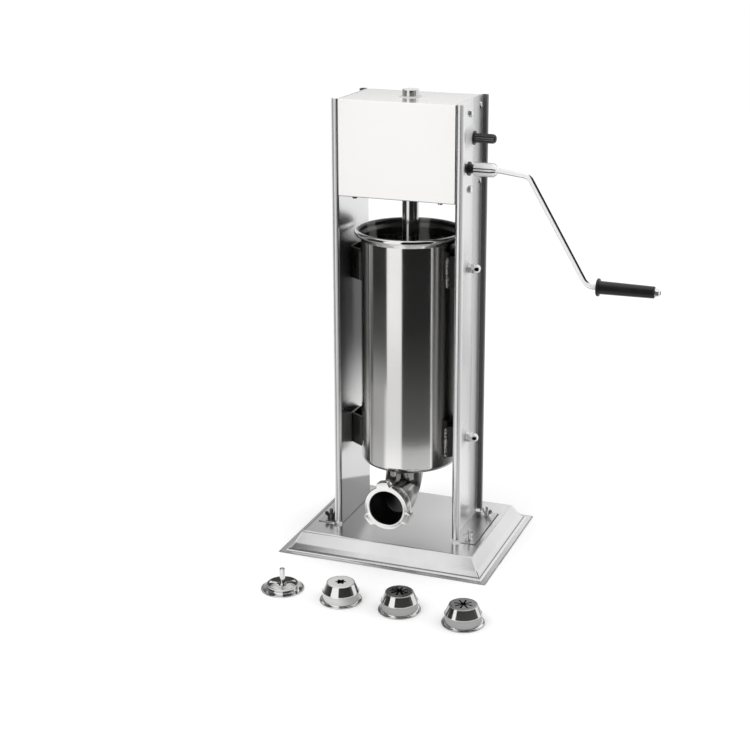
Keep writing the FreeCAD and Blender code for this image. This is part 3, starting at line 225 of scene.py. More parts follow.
# a mark is 1 inside all its limits: an axis, then the value where the limit is 0 and where it is 1
axes = {
    "x": lambda x, y, z: x,
    "y": lambda x, y, z: y,
    "z": lambda x, y, z: z,
    "square": lambda x, y, z: x ** 2,
    "side": lambda x, y, z: (x ** 2) ** 0.5,
    "slope": lambda x, y, z: z + y * 0.326,
}
facing = {  # the same by the way the surface looks
    "right": lambda x, y, z: x,
    "down": lambda x, y, z: 0.0 - z,
    "aside": lambda x, y, z: x ** 2,
    "downFront": lambda x, y, z: z * -0.7 - y * 0.7,
    "front": lambda x, y, z: x * 0.42 - y * 0.90 + z * 0.05,
}
aboveFoot = ("z", 0.031, 0.033)
aboveRim = ("z", 0.0030, 0.0036)
nozzleTop = ("z", 0.0264, 0.0268)
plateEnd = ("side", 0.1227, 0.1223)
leftWeb = (("x", -0.0868, -0.0860), ("x", -0.083, -0.084))
marks = {
    "right": (("x", 0.0, 0.01),),
    # the inner side of the columns' rolled rear edges, painted dark and matt as painted shade, and the duller web
    # beside the right one
    "rearHem": (("square", 0.0876 ** 2, 0.0880 ** 2), ("y", 0.040, 0.0405), aboveFoot),
    "besideHem": (("x", 0.0, 0.01), ("x", 0.0880, 0.0876), ("y", 0.0195, 0.0270)),
    # the left web, painted with its dark and light reflections: dark above its foot, a bright band over that, and
    # painted shade on the stretch behind the brackets
    "leftLow": (*leftWeb, ("slope", 0.0835, 0.0775)),
    "leftBand": (*leftWeb, ("slope", 0.0775, 0.0835), ("z", 0.185, 0.15)),
    "leftShade": (*leftWeb, ("z", 0.185, 0.30), ("z", 0.47, 0.44)),
    # the right web is painted darker, as painted shade, on the side that faces the barrel
    "rightInside": (("x", 0.080, 0.081), ("x", 0.0864, 0.0856), ("z", 0.10, 0.11)),
    "rightOutside": (("x", 0.0860, 0.0866), ("x", 0.0876, 0.0872)),
    # the rolled front edges carry painted reflections: where they turn back, where the left one leaves the web, a light
    # outermost bend and a dark middle line on the left one
    "turnedBack": (("square", 0.0930 ** 2, 0.0942 ** 2),),
    "leavesWeb": (("x", -0.0902, -0.0898), ("x", -0.0872, -0.0876)),
    "inFront": (("y", -0.0555, -0.0565), aboveFoot),
    "leftmost": (("x", -0.0925, -0.0930),),
    "frontLine": (("x", -0.0925, -0.0921), ("x", -0.0905, -0.0909), ("y", -0.059, -0.060), aboveFoot),
    "footPlate": (("z", 0.0306, 0.0300),),
    # the head's bent lower edge, painted dark as painted shade
    "panelFoot": (("z", 0.5238, 0.5228), ("y", -0.0575, -0.0583)),
    # the pan's top, the heights of its folds, and a line of painted shadow round the outer edges of the feet
    "panTop": (("z", 0.0262, 0.0265),),
    "creaseTall": (aboveRim, ("z", 0.012, 0.009)),
    "mitreTall": (aboveRim, ("z", 0.0255, 0.0235)),
    "besidePlate": (("side", 0.1208, 0.1211), plateEnd, ("y", -0.0615, -0.0610), ("y", 0.0575, 0.0570)),
    "beforePlate": (("side", 0.100, 0.101), plateEnd, ("y", -0.0618, -0.0614), ("y", -0.0598, -0.0601)),
    # the barrel's lip and turned mouth, painted dark as the shade inside it, and its side by the right brackets,
    # painted darker as a dark reflection
    "barrelLip": (("z", 0.44, 0.442),),
    "barrelMouth": (("z", 0.4470, 0.4480),),
    "barrelFlank": (("x", 0.0640, 0.0690), ("z", 0.451, 0.447), ("z", 0.14, 0.142)),
    # the nozzles' flat tops, the small star's with a painted highlight and the others' with painted dark reflections,
    # and the straight band over their feet
    "firstTop": (nozzleTop, ("x", 0.02, 0.015)),
    "otherTops": (nozzleTop, ("x", 0.02, 0.025)),
    "lastTop": (nozzleTop, ("x", 0.12, 0.125)),
    "nozzleBand": (("z", 0.0026, 0.0032), ("z", 0.0130, 0.0126)),
    # fasteners on the left in front, painted dark as painted shade; a cap nut's round end, with a painted dark
    # reflection where it faces the front, and its hexagon
    "leftFront": (("x", 0.0, -0.01), ("y", 0.0, -0.01)),
    "capDome": (("square", 0.0975 ** 2, 0.0980 ** 2), ("front", 0.88, 0.93)),
    "capHexagon": (("square", 0.0975 ** 2, 0.0970 ** 2),),
    # painted shade on the lower front of a screw's head; a painted highlight along one side of the lower rod, up to the
    # head
    "screwShade": (("downFront", 0.70, 0.85),),
    "lowerRod": (("z", 0.485, 0.475),),
    # painted shade on the outer side and the underside of the crank's rod; the sides of its hub and of the shaft's cap,
    # where painted reflection lines and painted highlights go
    "crankOuter": (("right", 0.35, 0.60),),
    "crankUnder": (("down", 0.50, 0.75),),
    "hubSides": (("aside", 0.6, 0.5),),
    "ribSides": (("aside", 0.5, 0.3),),
}


def marked(tree, *masks):
    # the product of masks, each a function or the name of a mark
    shown = 1.0
    for mask in masks:
        if callable(mask):
            shown = mask(tree) * shown
            continue
        for axis, none, full in marks[mask]:
            value = axes[axis](*tree.place()) if axis in axes else facing[axis](*tree.outwards())
            shown = tree.step(value, none, full) * shown
    return shown


def frontBends(tree):
    # the rolled front edges are painted with reflections where they bend
    return (marked(tree, "turnedBack") + marked(tree, "leavesWeb")) * marked(tree, "inFront")


# where paler, rougher spots are painted over reflections on the right web
reflectionCover = {
    "capReach": 0.044, "nutReach": 0.034, "nutLevels": (0.420, 0.167),
    "front": (-0.004, 0.012), "rear": (0.008, -0.006), "low": (-0.0160, -0.0030), "top": (0.0240, 0.0120),
}


def reflectionCoverSpots(tree):
    # spots of the right web in front of the upper shaft's cap and the barrel's nuts, painted paler and rougher over
    # their reflections
    x, y, z = tree.place()
    low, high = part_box("shaft_cap")
    spots = [((low[1] + high[1]) / 2, (low[2] + high[2]) / 2, reflectionCover["capReach"])]
    spots += [(0.0, level, reflectionCover["nutReach"]) for level in reflectionCover["nutLevels"]]
    shown = 0.0
    for deep, tall, reach in spots:
        spot = 1.0
        for value, start, side in ((y, deep - reach, "front"), (y, deep, "rear"), (z, tall, "low"), (z, tall, "top")):
            spot = tree.step(value, *[start + v for v in reflectionCover[side]]) * spot
        shown = spot + shown
    return marked(tree, "rightOutside") * shown


# the pan's size, and where its lines of painted highlight and painted shade go along its folds, bends and rim
pan = {
    "halfWidth": 0.15735, "halfDepth": 0.12525, "middle": -0.00135, "foldSoft": 0.0005, "lineSoft": 0.0003,
    "crease": 0.0009, "mitre": 0.0022, "groove": (0.0108, 0.0120), "ridge": (0.0080, 0.0098), "rim": (0.0, 0.0014),
}


def panInwards(tree):
    # how far in from the pan's side edges and from its front and rear edges
    x, y, z = tree.place()
    return pan["halfWidth"] - (x ** 2) ** 0.5, pan["halfDepth"] - ((y - pan["middle"]) ** 2) ** 0.5


def panFold(name):
    # the folded corners of the pan's slope, as lines of a given half width
    def mask(tree):
        across, deep = panInwards(tree)
        width, soft = pan[name], pan["foldSoft"]
        return tree.step(((across - deep) ** 2) ** 0.5, width + soft, width - soft)
    return mask


def panLine(name):
    # a line round the pan, between two distances in from its edge
    def mask(tree):
        inwards = tree.sum("MINIMUM", *panInwards(tree))
        (near, far), soft = pan[name], pan["lineSoft"]
        return tree.step(inwards, near - soft, near + soft) * tree.step(inwards, far + soft, far - soft)
    return mask


# painted shadow on the pan round the outer edges of the feet
def plateEdge(tree):
    return tree.sum("MAXIMUM", marked(tree, "besidePlate"), marked(tree, "beforePlate"))


shades = {
    "barrelFacing": (-0.15, -0.45), "barrelBore": (0.0704 ** 2, 0.0700 ** 2), "tiny": 0.000001,
    # levels by turns: painted light bands in the barrel from -X, the lower rod's painted highlight and the hub's
    # painted reflection lines from +Y
    "boreLightBands": (
        (0.0, 0.0), (0.738, 0.0), (0.746, 1.0), (0.770, 1.0), (0.778, 0.0),
        (0.928, 0.0), (0.935, 0.9), (0.966, 0.8), (0.975, 0.0), (1.0, 0.0),
    ),
    "gleam": ((0.0, 0.0), (0.478, 0.0), (0.490, 1.0), (0.512, 1.0), (0.53, 0.0), (1.0, 0.0)),
    "hubLines": (
        (0.0, 0.5), (0.33, 0.5), (0.38, 0.12), (0.455, 0.05), (0.462, 1.0), (0.487, 1.0), (0.493, 0.15),
        (0.525, 0.12), (0.532, 0.95), (0.550, 0.9), (0.558, 0.0), (0.70, 0.0), (0.735, 0.5), (1.0, 0.5),
    ),
    "underShare": 0.8, "nutShare": 0.9, "ribPitch": 0.24, "ribs": (0.13, 0.18),
}


# the barrel's bore and inner lip, painted darker as the shade inside it
def barrelInside(tree):
    x, y, z = tree.place()
    outX, outY, outZ = tree.outwards()
    square = x ** 2 + y ** 2
    away = (x * outX + y * outY) * (square + shades["tiny"]) ** -0.5
    lip = tree.step(away, *shades["barrelFacing"]) * marked(tree, "barrelLip")
    return tree.sum("MAXIMUM", lip, tree.step(square, *shades["barrelBore"]))


# painted light bands in the barrel's bore
def barrelLightBands(tree):
    x, y, z = tree.place()
    return barrelInside(tree) * tree.ramp(tree.turn(y, x), shades["boreLightBands"])


def rodGleam(tree):
    outX, outY, outZ = tree.outwards()
    return tree.ramp(tree.turn(outX, 0.0 - outY), shades["gleam"]) * marked(tree, "lowerRod")


# painted shade on the crank rod's outer side and underside
def crankShade(tree):
    return tree.sum("MAXIMUM", marked(tree, "crankOuter"), marked(tree, "crankUnder") * shades["underShare"])


# painted shade on the fasteners on the left in front
def nutShade(tree):
    return marked(tree, "leftFront") * shades["nutShare"]


# painted reflection lines round the crank's hub
def hubLines(tree):
    outX, outY, outZ = tree.outwards()
    return tree.ramp(tree.turn(outZ, 0.0 - outY), shades["hubLines"]) * marked(tree, "hubSides")


def capRibs(tree):
    # ribs along the shaft's cap catch the light
    outX, outY, outZ = tree.outwards()
    lines = tree.sum("PINGPONG", tree.sum("ARCTAN2", outZ, 0.0 - outY), shades["ribPitch"])
    return tree.step(lines, *shades["ribs"]) * marked(tree, "ribSides")


def plasticFinish(name, tone, rough, grain, shine=0.5, ribs=None):
    # moulded plastic or rubber with a fine grit, paler where it is hazy
    material, tree = newFinish(name)
    grit = tree.noise(900.0, rough=0.6)
    haze = tree.noise(60.0, detail=4.0, rough=0.55, offset=5.0)
    light = tuple(min(c * 1.5 + 0.004, 1.0) for c in tone)
    paint = tree.blendColours(haze, tone, light)
    if ribs:
        paint = tree.blendColours(ribs(tree), paint, 0.17)
    roughness = rough + (haze - 0.5) * 0.16
    surface = tree.bump(grit, grain)
    inputs = {"Base Color": paint, "Roughness": roughness, "Normal": surface, "Specular IOR Level": shine}
    closeFinish(tree, tree.node("BsdfPrincipled", inputs))
    return material


def weldFinish(name):
    # rough bead: dull grey with straw and brown heat tint; the welds on the left are painted near black as painted
    # shade
    material, tree = newFinish(name)
    patch = tree.noise(260.0, detail=4.0, rough=0.6)
    grit = tree.noise(1500.0, detail=2.0, rough=0.6, offset=2.0)
    tints = (
        (0.40, (0.16, 0.155, 0.15)), (0.50, (0.72, 0.71, 0.70)),
        (0.60, (0.86, 0.85, 0.83)), (0.68, (0.30, 0.28, 0.25)),
    )
    paint = tree.blendColours(marked(tree, "right"), (0.10, 0.10, 0.098), tree.ramp(patch, tints))
    surface = tree.bump(grit, 0.25)
    inputs = {"Base Color": paint, "Roughness": 0.34 + patch * 0.25, "Metallic": 1.0, "Normal": surface}
    closeFinish(tree, tree.node("BsdfPrincipled", inputs))
    return material


around = (6, 6, 900)  # grain that runs round an upright axis
upright = (900, 900, 6)  # grain that runs up and down
lengthwise = (6, 900, 900)  # grain along X
plated = {"wave": (0.03, 120.0), "grain": (0.002, (300, 300, 300)), "smudge": 0.06}
# the crank's chrome is drawn near white and mostly matt: its brightness is a painted reflection
chromed = {
    "tone": (0.99, 0.99, 0.99), "rough": 0.15, "wave": (0.02, 60.0), "smudge": 0.03, "soil": 0.98, "metal": 0.10,
}
# material, tone, roughness, wave and grain, then what differs from plain polished sheet
finishes = {
    "panel": steelFinish(
        "headPanelSteel", (0.975, 0.962, 0.945), 0.17, (0.2, 5.0), (0.003, lengthwise), smudge=0.03, soil=0.985,
        metal=0.7, patches=[("panelFoot", (0.25, 0.24, 0.23), 0.3, 1.0)],
    ),
    "web": steelFinish("columnSteel", (0.91, 0.91, 0.915), 0.22, (0.10, 7.0), (0.003, upright), soil=0.95, patches=[
        ("footPlate", 0.76, 0.26, 1.0),
        ("besideHem", 0.78, 0.55, 0.62),
        (reflectionCoverSpots, 0.98, 0.62, 0.94),
        ("leftShade", (0.29, 0.29, 0.292), 0.30, 1.0),
        ("leftLow", 0.30, 0.30, 1.0),
        ("leftBand", 0.72, 0.22, 1.0),
        ("rightInside", 0.45, 0.22, 1.0),
        (frontBends, 0.76, 0.33, 0.52),
        (frontBends, "leftmost", 0.97, 0.35, 0.10),
        ("frontLine", 0.42, 0.3, 1.0),
        ("rearHem", (0.15, 0.15, 0.152), 0.5, 0.1),
    ]),
    "base": steelFinish(
        "basePanSteel", (0.80, 0.80, 0.80), 0.17, (0.35, 8.0), (0.006, lengthwise), smudge=0.07, soil=0.92,
        patches=[
            ("panTop", 0.88, 0.17, 1.0),
            (plateEdge, "panTop", 0.08, 0.4, 0.8),
            # painted highlights along the mitres and the ridge, painted shade in the creases, the groove and at the rim
            (panFold("mitre"), "mitreTall", 0.98, 0.4, 0.5),
            (panFold("crease"), "creaseTall", 0.10, 0.4, 1.0),
            (panLine("groove"), 0.30, 0.4, 1.0),
            (panLine("ridge"), 0.96, 0.4, 0.4),
            (panLine("rim"), 0.42, 0.4, 0.9),
        ],
    ),
    "barrel": steelFinish("barrelSteel", (0.88, 0.875, 0.86), 0.09, (0.14, 9.0), (0.006, around), soil=0.9, patches=[
        (barrelInside, (0.50, 0.50, 0.49), 0.18, 1.0),
        (barrelInside, "barrelMouth", (0.10, 0.10, 0.098), 0.24, 1.0),
        (barrelLightBands, (0.45, 0.45, 0.44), 0.5, 0.35),
        ("barrelFlank", (0.42, 0.42, 0.41), 0.2, 1.0),
    ]),
    # painted shade: the insides of the nozzles, the core and the elbow are painted near black
    "dark": steelFinish("paintedShadeInside", (0.13, 0.13, 0.128), 0.38, (0.05, 60.0), (0.004, around), soil=0.7),
    # the brackets on the right are painted darker as painted shade
    "bracket": steelFinish(
        "bracketSteel", (0.22, 0.22, 0.215), 0.25, (0.3, 60.0), (0.02, upright), soil=0.4,
        patches=[("right", (0.10, 0.10, 0.098), 0.38, 1.0)],
    ),
    "floorPlate": steelFinish("headFloorSteel", (0.60, 0.595, 0.58), 0.22, (0.1, 30.0), (0.01, lengthwise), soil=0.8),
    "elbow": steelFinish(
        "elbowSteel", (0.50, 0.495, 0.48), 0.12, (0.9, 34.0), (0.02, around), smudge=0.12, soil=0.45,
    ),
    "ringNut": steelFinish("ringNutSteel", (0.93, 0.925, 0.915), 0.14, (0.1, 40.0), (0.002, around), soil=0.93),
    "nozzle": steelFinish("nozzleSteel", (0.88, 0.875, 0.865), 0.07, (0.05, 40.0), (0.003, around), soil=0.92, patches=[
        ("firstTop", (0.80, 0.80, 0.79), 0.35, 0.3),
        ("otherTops", (0.24, 0.24, 0.236), 0.24, 1.0),
        ("lastTop", (0.42, 0.42, 0.415), 0.24, 1.0),
        ("nozzleBand", (0.72, 0.72, 0.715), 0.10, 1.0),
    ]),
    "fastener": steelFinish(
        "platedSteel", (0.95, 0.95, 0.94), 0.11, soil=0.85, metal=0.86,
        patches=[(nutShade, 0.05, 0.3, 1.0)], **plated,
    ),
    "nut": steelFinish(
        "nutSteel", (0.97, 0.97, 0.96), 0.15, soil=0.85, metal=0.55,
        patches=[("screwShade", 0.50, 0.2, 0.8)], **plated,
    ),
    "screw": steelFinish(
        "screwSteel", (0.95, 0.95, 0.94), 0.12, soil=0.85, metal=0.6,
        patches=[("screwShade", 0.04, 0.2, 1.0)], **plated,
    ),
    "capNut": steelFinish(
        "capNutSteel", (0.96, 0.96, 0.95), 0.20, soil=0.9, metal=0.40,
        patches=[("screwShade", "capHexagon", 0.45, 0.2, 0.8), ("capDome", 0.03, 0.15, 1.0)], **plated,
    ),
    "chrome": steelFinish("crankChrome", grain=(0.001, lengthwise), patches=[(hubLines, 0.04, 0.15, 0.9)], **chromed),
    "crankRod": steelFinish(
        "crankRodChrome", grain=(0.001, around), patches=[(crankShade, 0.02, 0.2, 1.0)], **chromed,
    ),
    "rod": steelFinish(
        "rodSteel", (0.80, 0.80, 0.79), 0.10, (0.02, 40.0), (0.002, around), smudge=0.04,
        patches=[(rodGleam, (0.97, 0.97, 0.96), 0.35, 0.05)],
    ),
    "gear": steelFinish(
        "gearSteel", (0.52, 0.515, 0.50), 0.26, (0.02, 80.0), (0.01, (500, 500, 500)), smudge=0.12, soil=0.75,
    ),
    "weld": weldFinish("weldBead"),
    "black": plasticFinish("blackPlastic", (0.008, 0.008, 0.0085), 0.33, grain=0.012, shine=0.55),
    "ribbed": plasticFinish("ribbedPlastic", (0.006, 0.006, 0.0065), 0.30, grain=0.012, shine=0.45, ribs=capRibs),
    "guide": plasticFinish("rodGuidePlastic", (0.62, 0.61, 0.58), 0.35, grain=0.01),
    "seal": plasticFinish("sealRubber", (0.70, 0.69, 0.65), 0.5, grain=0.01),
}
print("finishes made:", len(finishes))


def angles(count):
    return [2 * pi * j / count for j in range(count)]


def arcCorners(corners, step=12.0, closed=True, fixedParts=0):
    # (u, v, radius) corners to points, each rounded by its own radius
    points = []
    count = len(corners)
    for i, (u, v, radius) in enumerate(corners):
        here = Vector((u, v))
        if radius <= 0 or (not closed and i in (0, count - 1)):
            points.append(here)
            continue
        before = Vector(corners[i - 1][:2])
        after = Vector(corners[(i + 1) % count][:2])
        back = (before - here).normalized()
        ahead = (after - here).normalized()
        opening = back.angle(ahead)
        reach = min(radius / tan(opening / 2), 0.49 * min((before - here).length, (after - here).length))
        radius = reach * tan(opening / 2)
        centre = here + (back + ahead).normalized() * (radius / sin(opening / 2))
        start = here + back * reach - centre
        end = here + ahead * reach - centre
        turn = atan2(start.x * end.y - start.y * end.x, start.dot(end))
        parts = fixedParts or max(2, ceil(abs(degrees(turn)) / step))
        for k in range(parts + 1):
            a = turn * k / parts
            across = start.x * cos(a) - start.y * sin(a)
            along = start.x * sin(a) + start.y * cos(a)
            points.append(centre + Vector((across, along)))
    return points


def skin(rings, closeRings=True, joinEnds=False, caps=False):
    # quads between loops that have the same number of points
    verts = [tuple(p) for ring in rings for p in ring]
    size = len(rings[0])
    faces = []
    for i in range(len(rings) if joinEnds else len(rings) - 1):
        a = i * size
        b = ((i + 1) % len(rings)) * size
        for j in range(size if closeRings else size - 1):
            k = (j + 1) % size
            faces.append((a + j, a + k, b + k, b + j))
    if caps:
        faces.append(tuple(reversed(range(size))))
        faces.append(tuple(range((len(rings) - 1) * size, len(rings) * size)))
    return verts, faces


def moved(part, matrix):
    verts, faces = part
    return [tuple(matrix @ Vector(v)) for v in verts], faces


def merged(parts):
    verts, faces = [], []
    for someVerts, someFaces in parts:
        start = len(verts)
        verts += someVerts
        faces += [tuple(i + start for i in face) for face in someFaces]
    return verts, faces


def turned(points, segments=96, joinEnds=True):
    # (radius, height) points turned about the local Z axis
    rings = [[(r * cos(a), r * sin(a), z) for a in angles(segments)] for r, z in points]
    return skin(rings, joinEnds=joinEnds)


def placed(x, y, z, axis="Z", turn=0.0):
    # local Z along a named axis, then moved to a place
    angle, about = {"Z": (0, "Z"), "X": (90, "Y"), "-X": (-90, "Y")}[axis]
    tilt = Matrix.Rotation(radians(angle), 4, about)
    return Matrix.Translation((x, y, z)) @ tilt @ Matrix.Rotation(radians(turn), 4, "Z")


def newPiece(name, part, finish, stands=(), body="frame", sharp=40.0, inside=None):
    # inside says, from a face's middle in millimetres and its direction, where the dark inner finish, painted shade for
    # the hollows, goes
    verts, faces = part
    mesh = bpy.data.meshes.new(name)
    mesh.from_pydata([Vector(v) * mm for v in verts], [], faces)
    mesh.validate()
    mesh.shade_smooth()
    piece = added(name, mesh)
    cleanMesh(mesh)
    mesh.set_sharp_from_angle(angle=radians(sharp))
    mesh.materials.append(finishes[finish])
    if inside:
        mesh.materials.append(finishes["dark"])
        for face in mesh.polygons:
            if inside(face.center / mm, face.normal):
                face.material_index = 1
    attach(piece, body)
    if stands:
        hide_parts(*stands)


def cleanMesh(mesh):
    # joins doubled points and turns every face outwards
    work = bmesh.new()
    work.from_mesh(mesh)
    bmesh.ops.remove_doubles(work, verts=work.verts, dist=0.004 * mm)
    bmesh.ops.dissolve_degenerate(work, dist=0.001 * mm, edges=work.edges)
    bmesh.ops.recalc_face_normals(work, faces=work.faces)
    work.to_mesh(mesh)
    work.free()


dressed = {
    "panel": ("head_cover",),
    "web": ("left_column", "right_column"),
    "base": ("base_pan",),
    "barrel": ("barrel", "piston_disc"),
    "bracket": ("lower_right_bracket", "lower_left_bracket", "upper_right_bracket", "upper_left_bracket"),
    "elbow": ("outlet_elbow", "threaded_collar"),
    "floorPlate": ("head_floor", "upper_crossbar", "lower_crossbar", "bearing_plate"),
    "rod": ("rack_rod", "piston_washer"),
    "gear": (
        "upper_shaft", "lower_shaft", "pinion", "large_gear", "small_gear",
        "pinion_pin", "large_gear_pin", "small_gear_pin", "upper_shaft_clip", "lower_shaft_clip",
    ),
    "fastener": (
        "foot_bolts", "foot_washers", "barrel_bolts", "bearing_plate_screws", "hub_screw", "grip_washer",
        "wing_nuts", "head_floor_screws", "crossbar_screws", "piston_nut", "grip_nut",
    ),
    "screw": ("cover_screws",),
    "chrome": ("crank_hub",),
    "crankRod": ("crank_rod",),
    "ribbed": ("shaft_cap",),
    "black": ("grip", "lower_shaft_bush", "upper_shaft_bush", "upper_shaft_left_bush"),
    "guide": ("upper_rod_bush", "lower_rod_bush", "upper_shaft_middle_bush", "lower_shaft_inner_bush"),
    "seal": ("piston_seal",),
}
for finish, names in dressed.items():
    for name in names:
        for materialSlot in nodes[name].material_slots:
            materialSlot.material = finishes[finish]
print("solids dressed")


def starRim(points=6, tip=7.4, root=4.9, turn=20.0, steps=216, soft=0.35, tiny=1e-6):
    # a soft lobed star as (radius, angle) pairs
    rim = []
    for a in angles(steps):
        wave = cos(points * (a - radians(turn)))
        lobe = 0.5 + 0.5 * wave / (abs(wave) ** soft + tiny)
        rim.append((root + (tip - root) * lobe, a))
    return rim


def slotRim(width, reach=12.5, slots=8, sideSteps=9, endSteps=6, endRound=0.9):
    # slots that meet in the middle and leave a ring of pointed tongues
    half = width / 2
    sector = pi / slots
    start = half / sin(sector) * cos(sector)
    endRadius = half * endRound
    endCentre = reach - endRadius
    side = [(start + (endCentre - start) * k / (sideSteps - 1), half) for k in range(sideSteps)]
    for k in range(1, endSteps):
        a = pi / 2 * (1 - k / endSteps)
        side.append((endCentre + endRadius * cos(a), half * sin(a)))
    outline = [(x, -y) for x, y in side] + [(endCentre + endRadius, 0.0)] + side[::-1]
    return [(hypot(x, y), middle + atan2(y, x)) for middle in angles(slots) for x, y in outline]


nozzle = {
    "flange": 58.0, "flangeThick": 1.6, "band": 49.6, "bandTop": 14.0, "top": 38.0, "height": 27.0,
    "wall": 1.2, "bead": 0.35, "flatEdge": 1.6, "liftReach": 12.0, "liftPower": 1.3, "sharp": 32.0,
    "shares": (0.0, 0.04, 0.1, 0.22, 0.4, 0.6, 0.8, 1.0),  # rings from the rim of the opening to the flat's edge
}
nozzles = {
    "small_star_nozzle": {"name": "smallStarNozzle", "place": (-14.0, -236.0), "rim": starRim(), "lift": 0.0},
    "broad_star_nozzle": {"name": "broadStarNozzle", "place": (71.0, -235.5), "rim": slotRim(3.0), "lift": 1.9},
    "thin_star_nozzle": {"name": "thinStarNozzle", "place": (163.0, -241.0), "rim": slotRim(2.5), "lift": 0.475},
}


def nozzlePart(rim, lift):
    # a stepped cup on a flange, its flat top cut by the opening
    n = nozzle
    wall, band, top, flange = n["wall"], n["band"] / 2, n["top"] / 2, n["flange"] / 2
    profile = arcCorners([
        (top, n["height"], 0.6),
        (band - 0.3, n["bandTop"] + 0.7, 0.25),
        (band + n["bead"], n["bandTop"] + 0.35, 0.3),
        (band + n["bead"], n["bandTop"] - 0.9, 0.3),
        (band, n["bandTop"] - 1.3, 0.3),
        (band, n["flangeThick"] + 0.25, 1.6),
        (flange - 1.2, n["flangeThick"] - 0.25, 0.8),
        (flange - 0.5, n["flangeThick"] + 0.1, 0.4),
        (flange, n["flangeThick"] - 0.3, 0.35),
        (flange, 0, 0.3),
        (band - wall, 0, 0.5),
        (band - wall, n["bandTop"] - 0.4, 1.0),
        (top - wall, n["height"] - wall, 0.8),
    ], step=15.0)

    def flatRing(share, z):
        ring = []
        for rimRadius, a in rim:
            r = rimRadius + (top - n["flatEdge"] - rimRadius) * share
            raised = lift * max(0.0, 1.0 - r / n["liftReach"]) ** n["liftPower"]
            ring.append((r * cos(a), r * sin(a), z + raised))
        return ring

    rings = [flatRing(share, n["height"]) for share in n["shares"]]
    rings += [[(p[0] * cos(a), p[0] * sin(a), p[1]) for r, a in rim] for p in profile]
    rings += [flatRing(share, n["height"] - wall) for share in reversed(n["shares"])]
    return skin(rings, joinEnds=True)


def facesInwards(x, y):
    # inner walls and the underside of the top
    def test(middle, out):
        radial = Vector((middle.x - x, middle.y - y))
        inward = radial.length > 1 and radial.normalized().dot(Vector((out.x, out.y))) < -0.3
        return (inward or out.z < -0.5) and middle.z > 0.3
    return test


for node, made in nozzles.items():
    x, y = made["place"]
    part = moved(nozzlePart(made["rim"], made["lift"]), placed(x, y, 0))
    newPiece(made["name"], part, "nozzle", [node], node, nozzle["sharp"], facesInwards(x, y))
print("nozzles made")


core = {
    "place": (-103.0, -232.0), "flange": 59.6, "flangeThick": 1.6, "ring": 43.0, "top": 8.4, "wall": 1.8,
    "spokeTop": 7.6, "spokeLow": 5.4, "hub": 4.6, "pin": 7.6, "pinTop": 30.3, "spokes": (-65.0, 55.0, 175.0),
    "narrow": 2.6, "broad": 8.5, "flare": 2.6, "spokeSteps": 26, "overlap": 0.4, "axis": 0.02,
}


def coreRing():
    c = core
    ring, flange, thick, top = c["ring"] / 2, c["flange"] / 2, c["flangeThick"], c["top"]
    inner = ring - c["wall"]
    return turned(arcCorners([
        (inner, 0, 0.4),
        (flange, 0, 0.35),
        (flange, thick - 0.1, 0.5),
        (flange - 2.0, thick - 0.35, 0.6),
        (ring + 0.2, thick, 1.2),
        (ring, top * 0.55, 0.5),
        (ring + 0.35, top * 0.6, 0.3),
        (ring + 0.35, top - 0.3, 0.7),
        (ring - 0.9, top, 0.8),
        (inner, top - 0.8, 0.6),
    ], step=15.0), segments=128)


def coreSpoke(angle):
    # narrow in its middle, with a ridge along its top
    c = core
    reach = c["ring"] / 2 - c["wall"] + c["overlap"]
    low, shoulder = c["spokeLow"], c["spokeTop"] - 1.3
    rings = []
    for i in range(c["spokeSteps"] + 1):
        t = i / c["spokeSteps"]
        r = reach * t
        widest = c["hub"] * 1.5 if t < 0.5 else c["broad"]
        half = (c["narrow"] + (widest - c["narrow"]) * abs(2 * t - 1) ** c["flare"]) / 2
        ridge = c["spokeTop"] + 0.5 * (1 - t) ** 2
        side = [(half * 0.7, low), (half, low + 0.5), (half * 0.85, shoulder), (0.45, ridge - 0.1)]
        rings.append([(r, -y, z) for y, z in side] + [(r, 0, ridge)] + [(r, y, z) for y, z in reversed(side)])
    return moved(skin(rings, caps=True), placed(0, 0, 0, turn=angle))


def corePin():
    c = core
    pin, low, top = c["pin"] / 2, c["spokeLow"], c["spokeTop"]
    return turned(arcCorners([
        (c["axis"], low + 0.2, 0),
        (pin + 1.9, low + 0.2, 0.3),
        (pin + 1.6, top - 0.2, 0.7),
        (pin, top + 1.4, 0.9),
        (pin, c["pinTop"], 0.9),
        (c["axis"], c["pinTop"], 0),
    ], closed=False), segments=64, joinEnds=False)


def makeCore():
    x, y = core["place"]
    where = placed(x, y, 0)
    spider = moved(merged([coreRing()] + [coreSpoke(a) for a in core["spokes"]]), where)
    body, slotName = "core_insert", "polished_nozzle"
    newPiece("coreSpider", spider, "nozzle", ["core_insert"], body, inside=facesInwards(x, y))
    newPiece("corePin", moved(corePin(), where), "rod", ["core_pin"], body)


makeCore()
print("core insert made")


ringNut = {
    "front": -100.0, "z": 81.5, "bore": 50.6, "body": 66.0, "depth": 16.0, "lip": 3.0, "cavity": 61.0,
    "lug": 77.0, "lugWidth": 20.0, "lugDepth": 12.0, "lugAngles": (99.0, 219.0, 339.0), "lugSpan": 60,
    "lugRound": 2.4, "edge": 1.3, "steps": 360, "seam": 0.01, "sharp": 50.0,
}


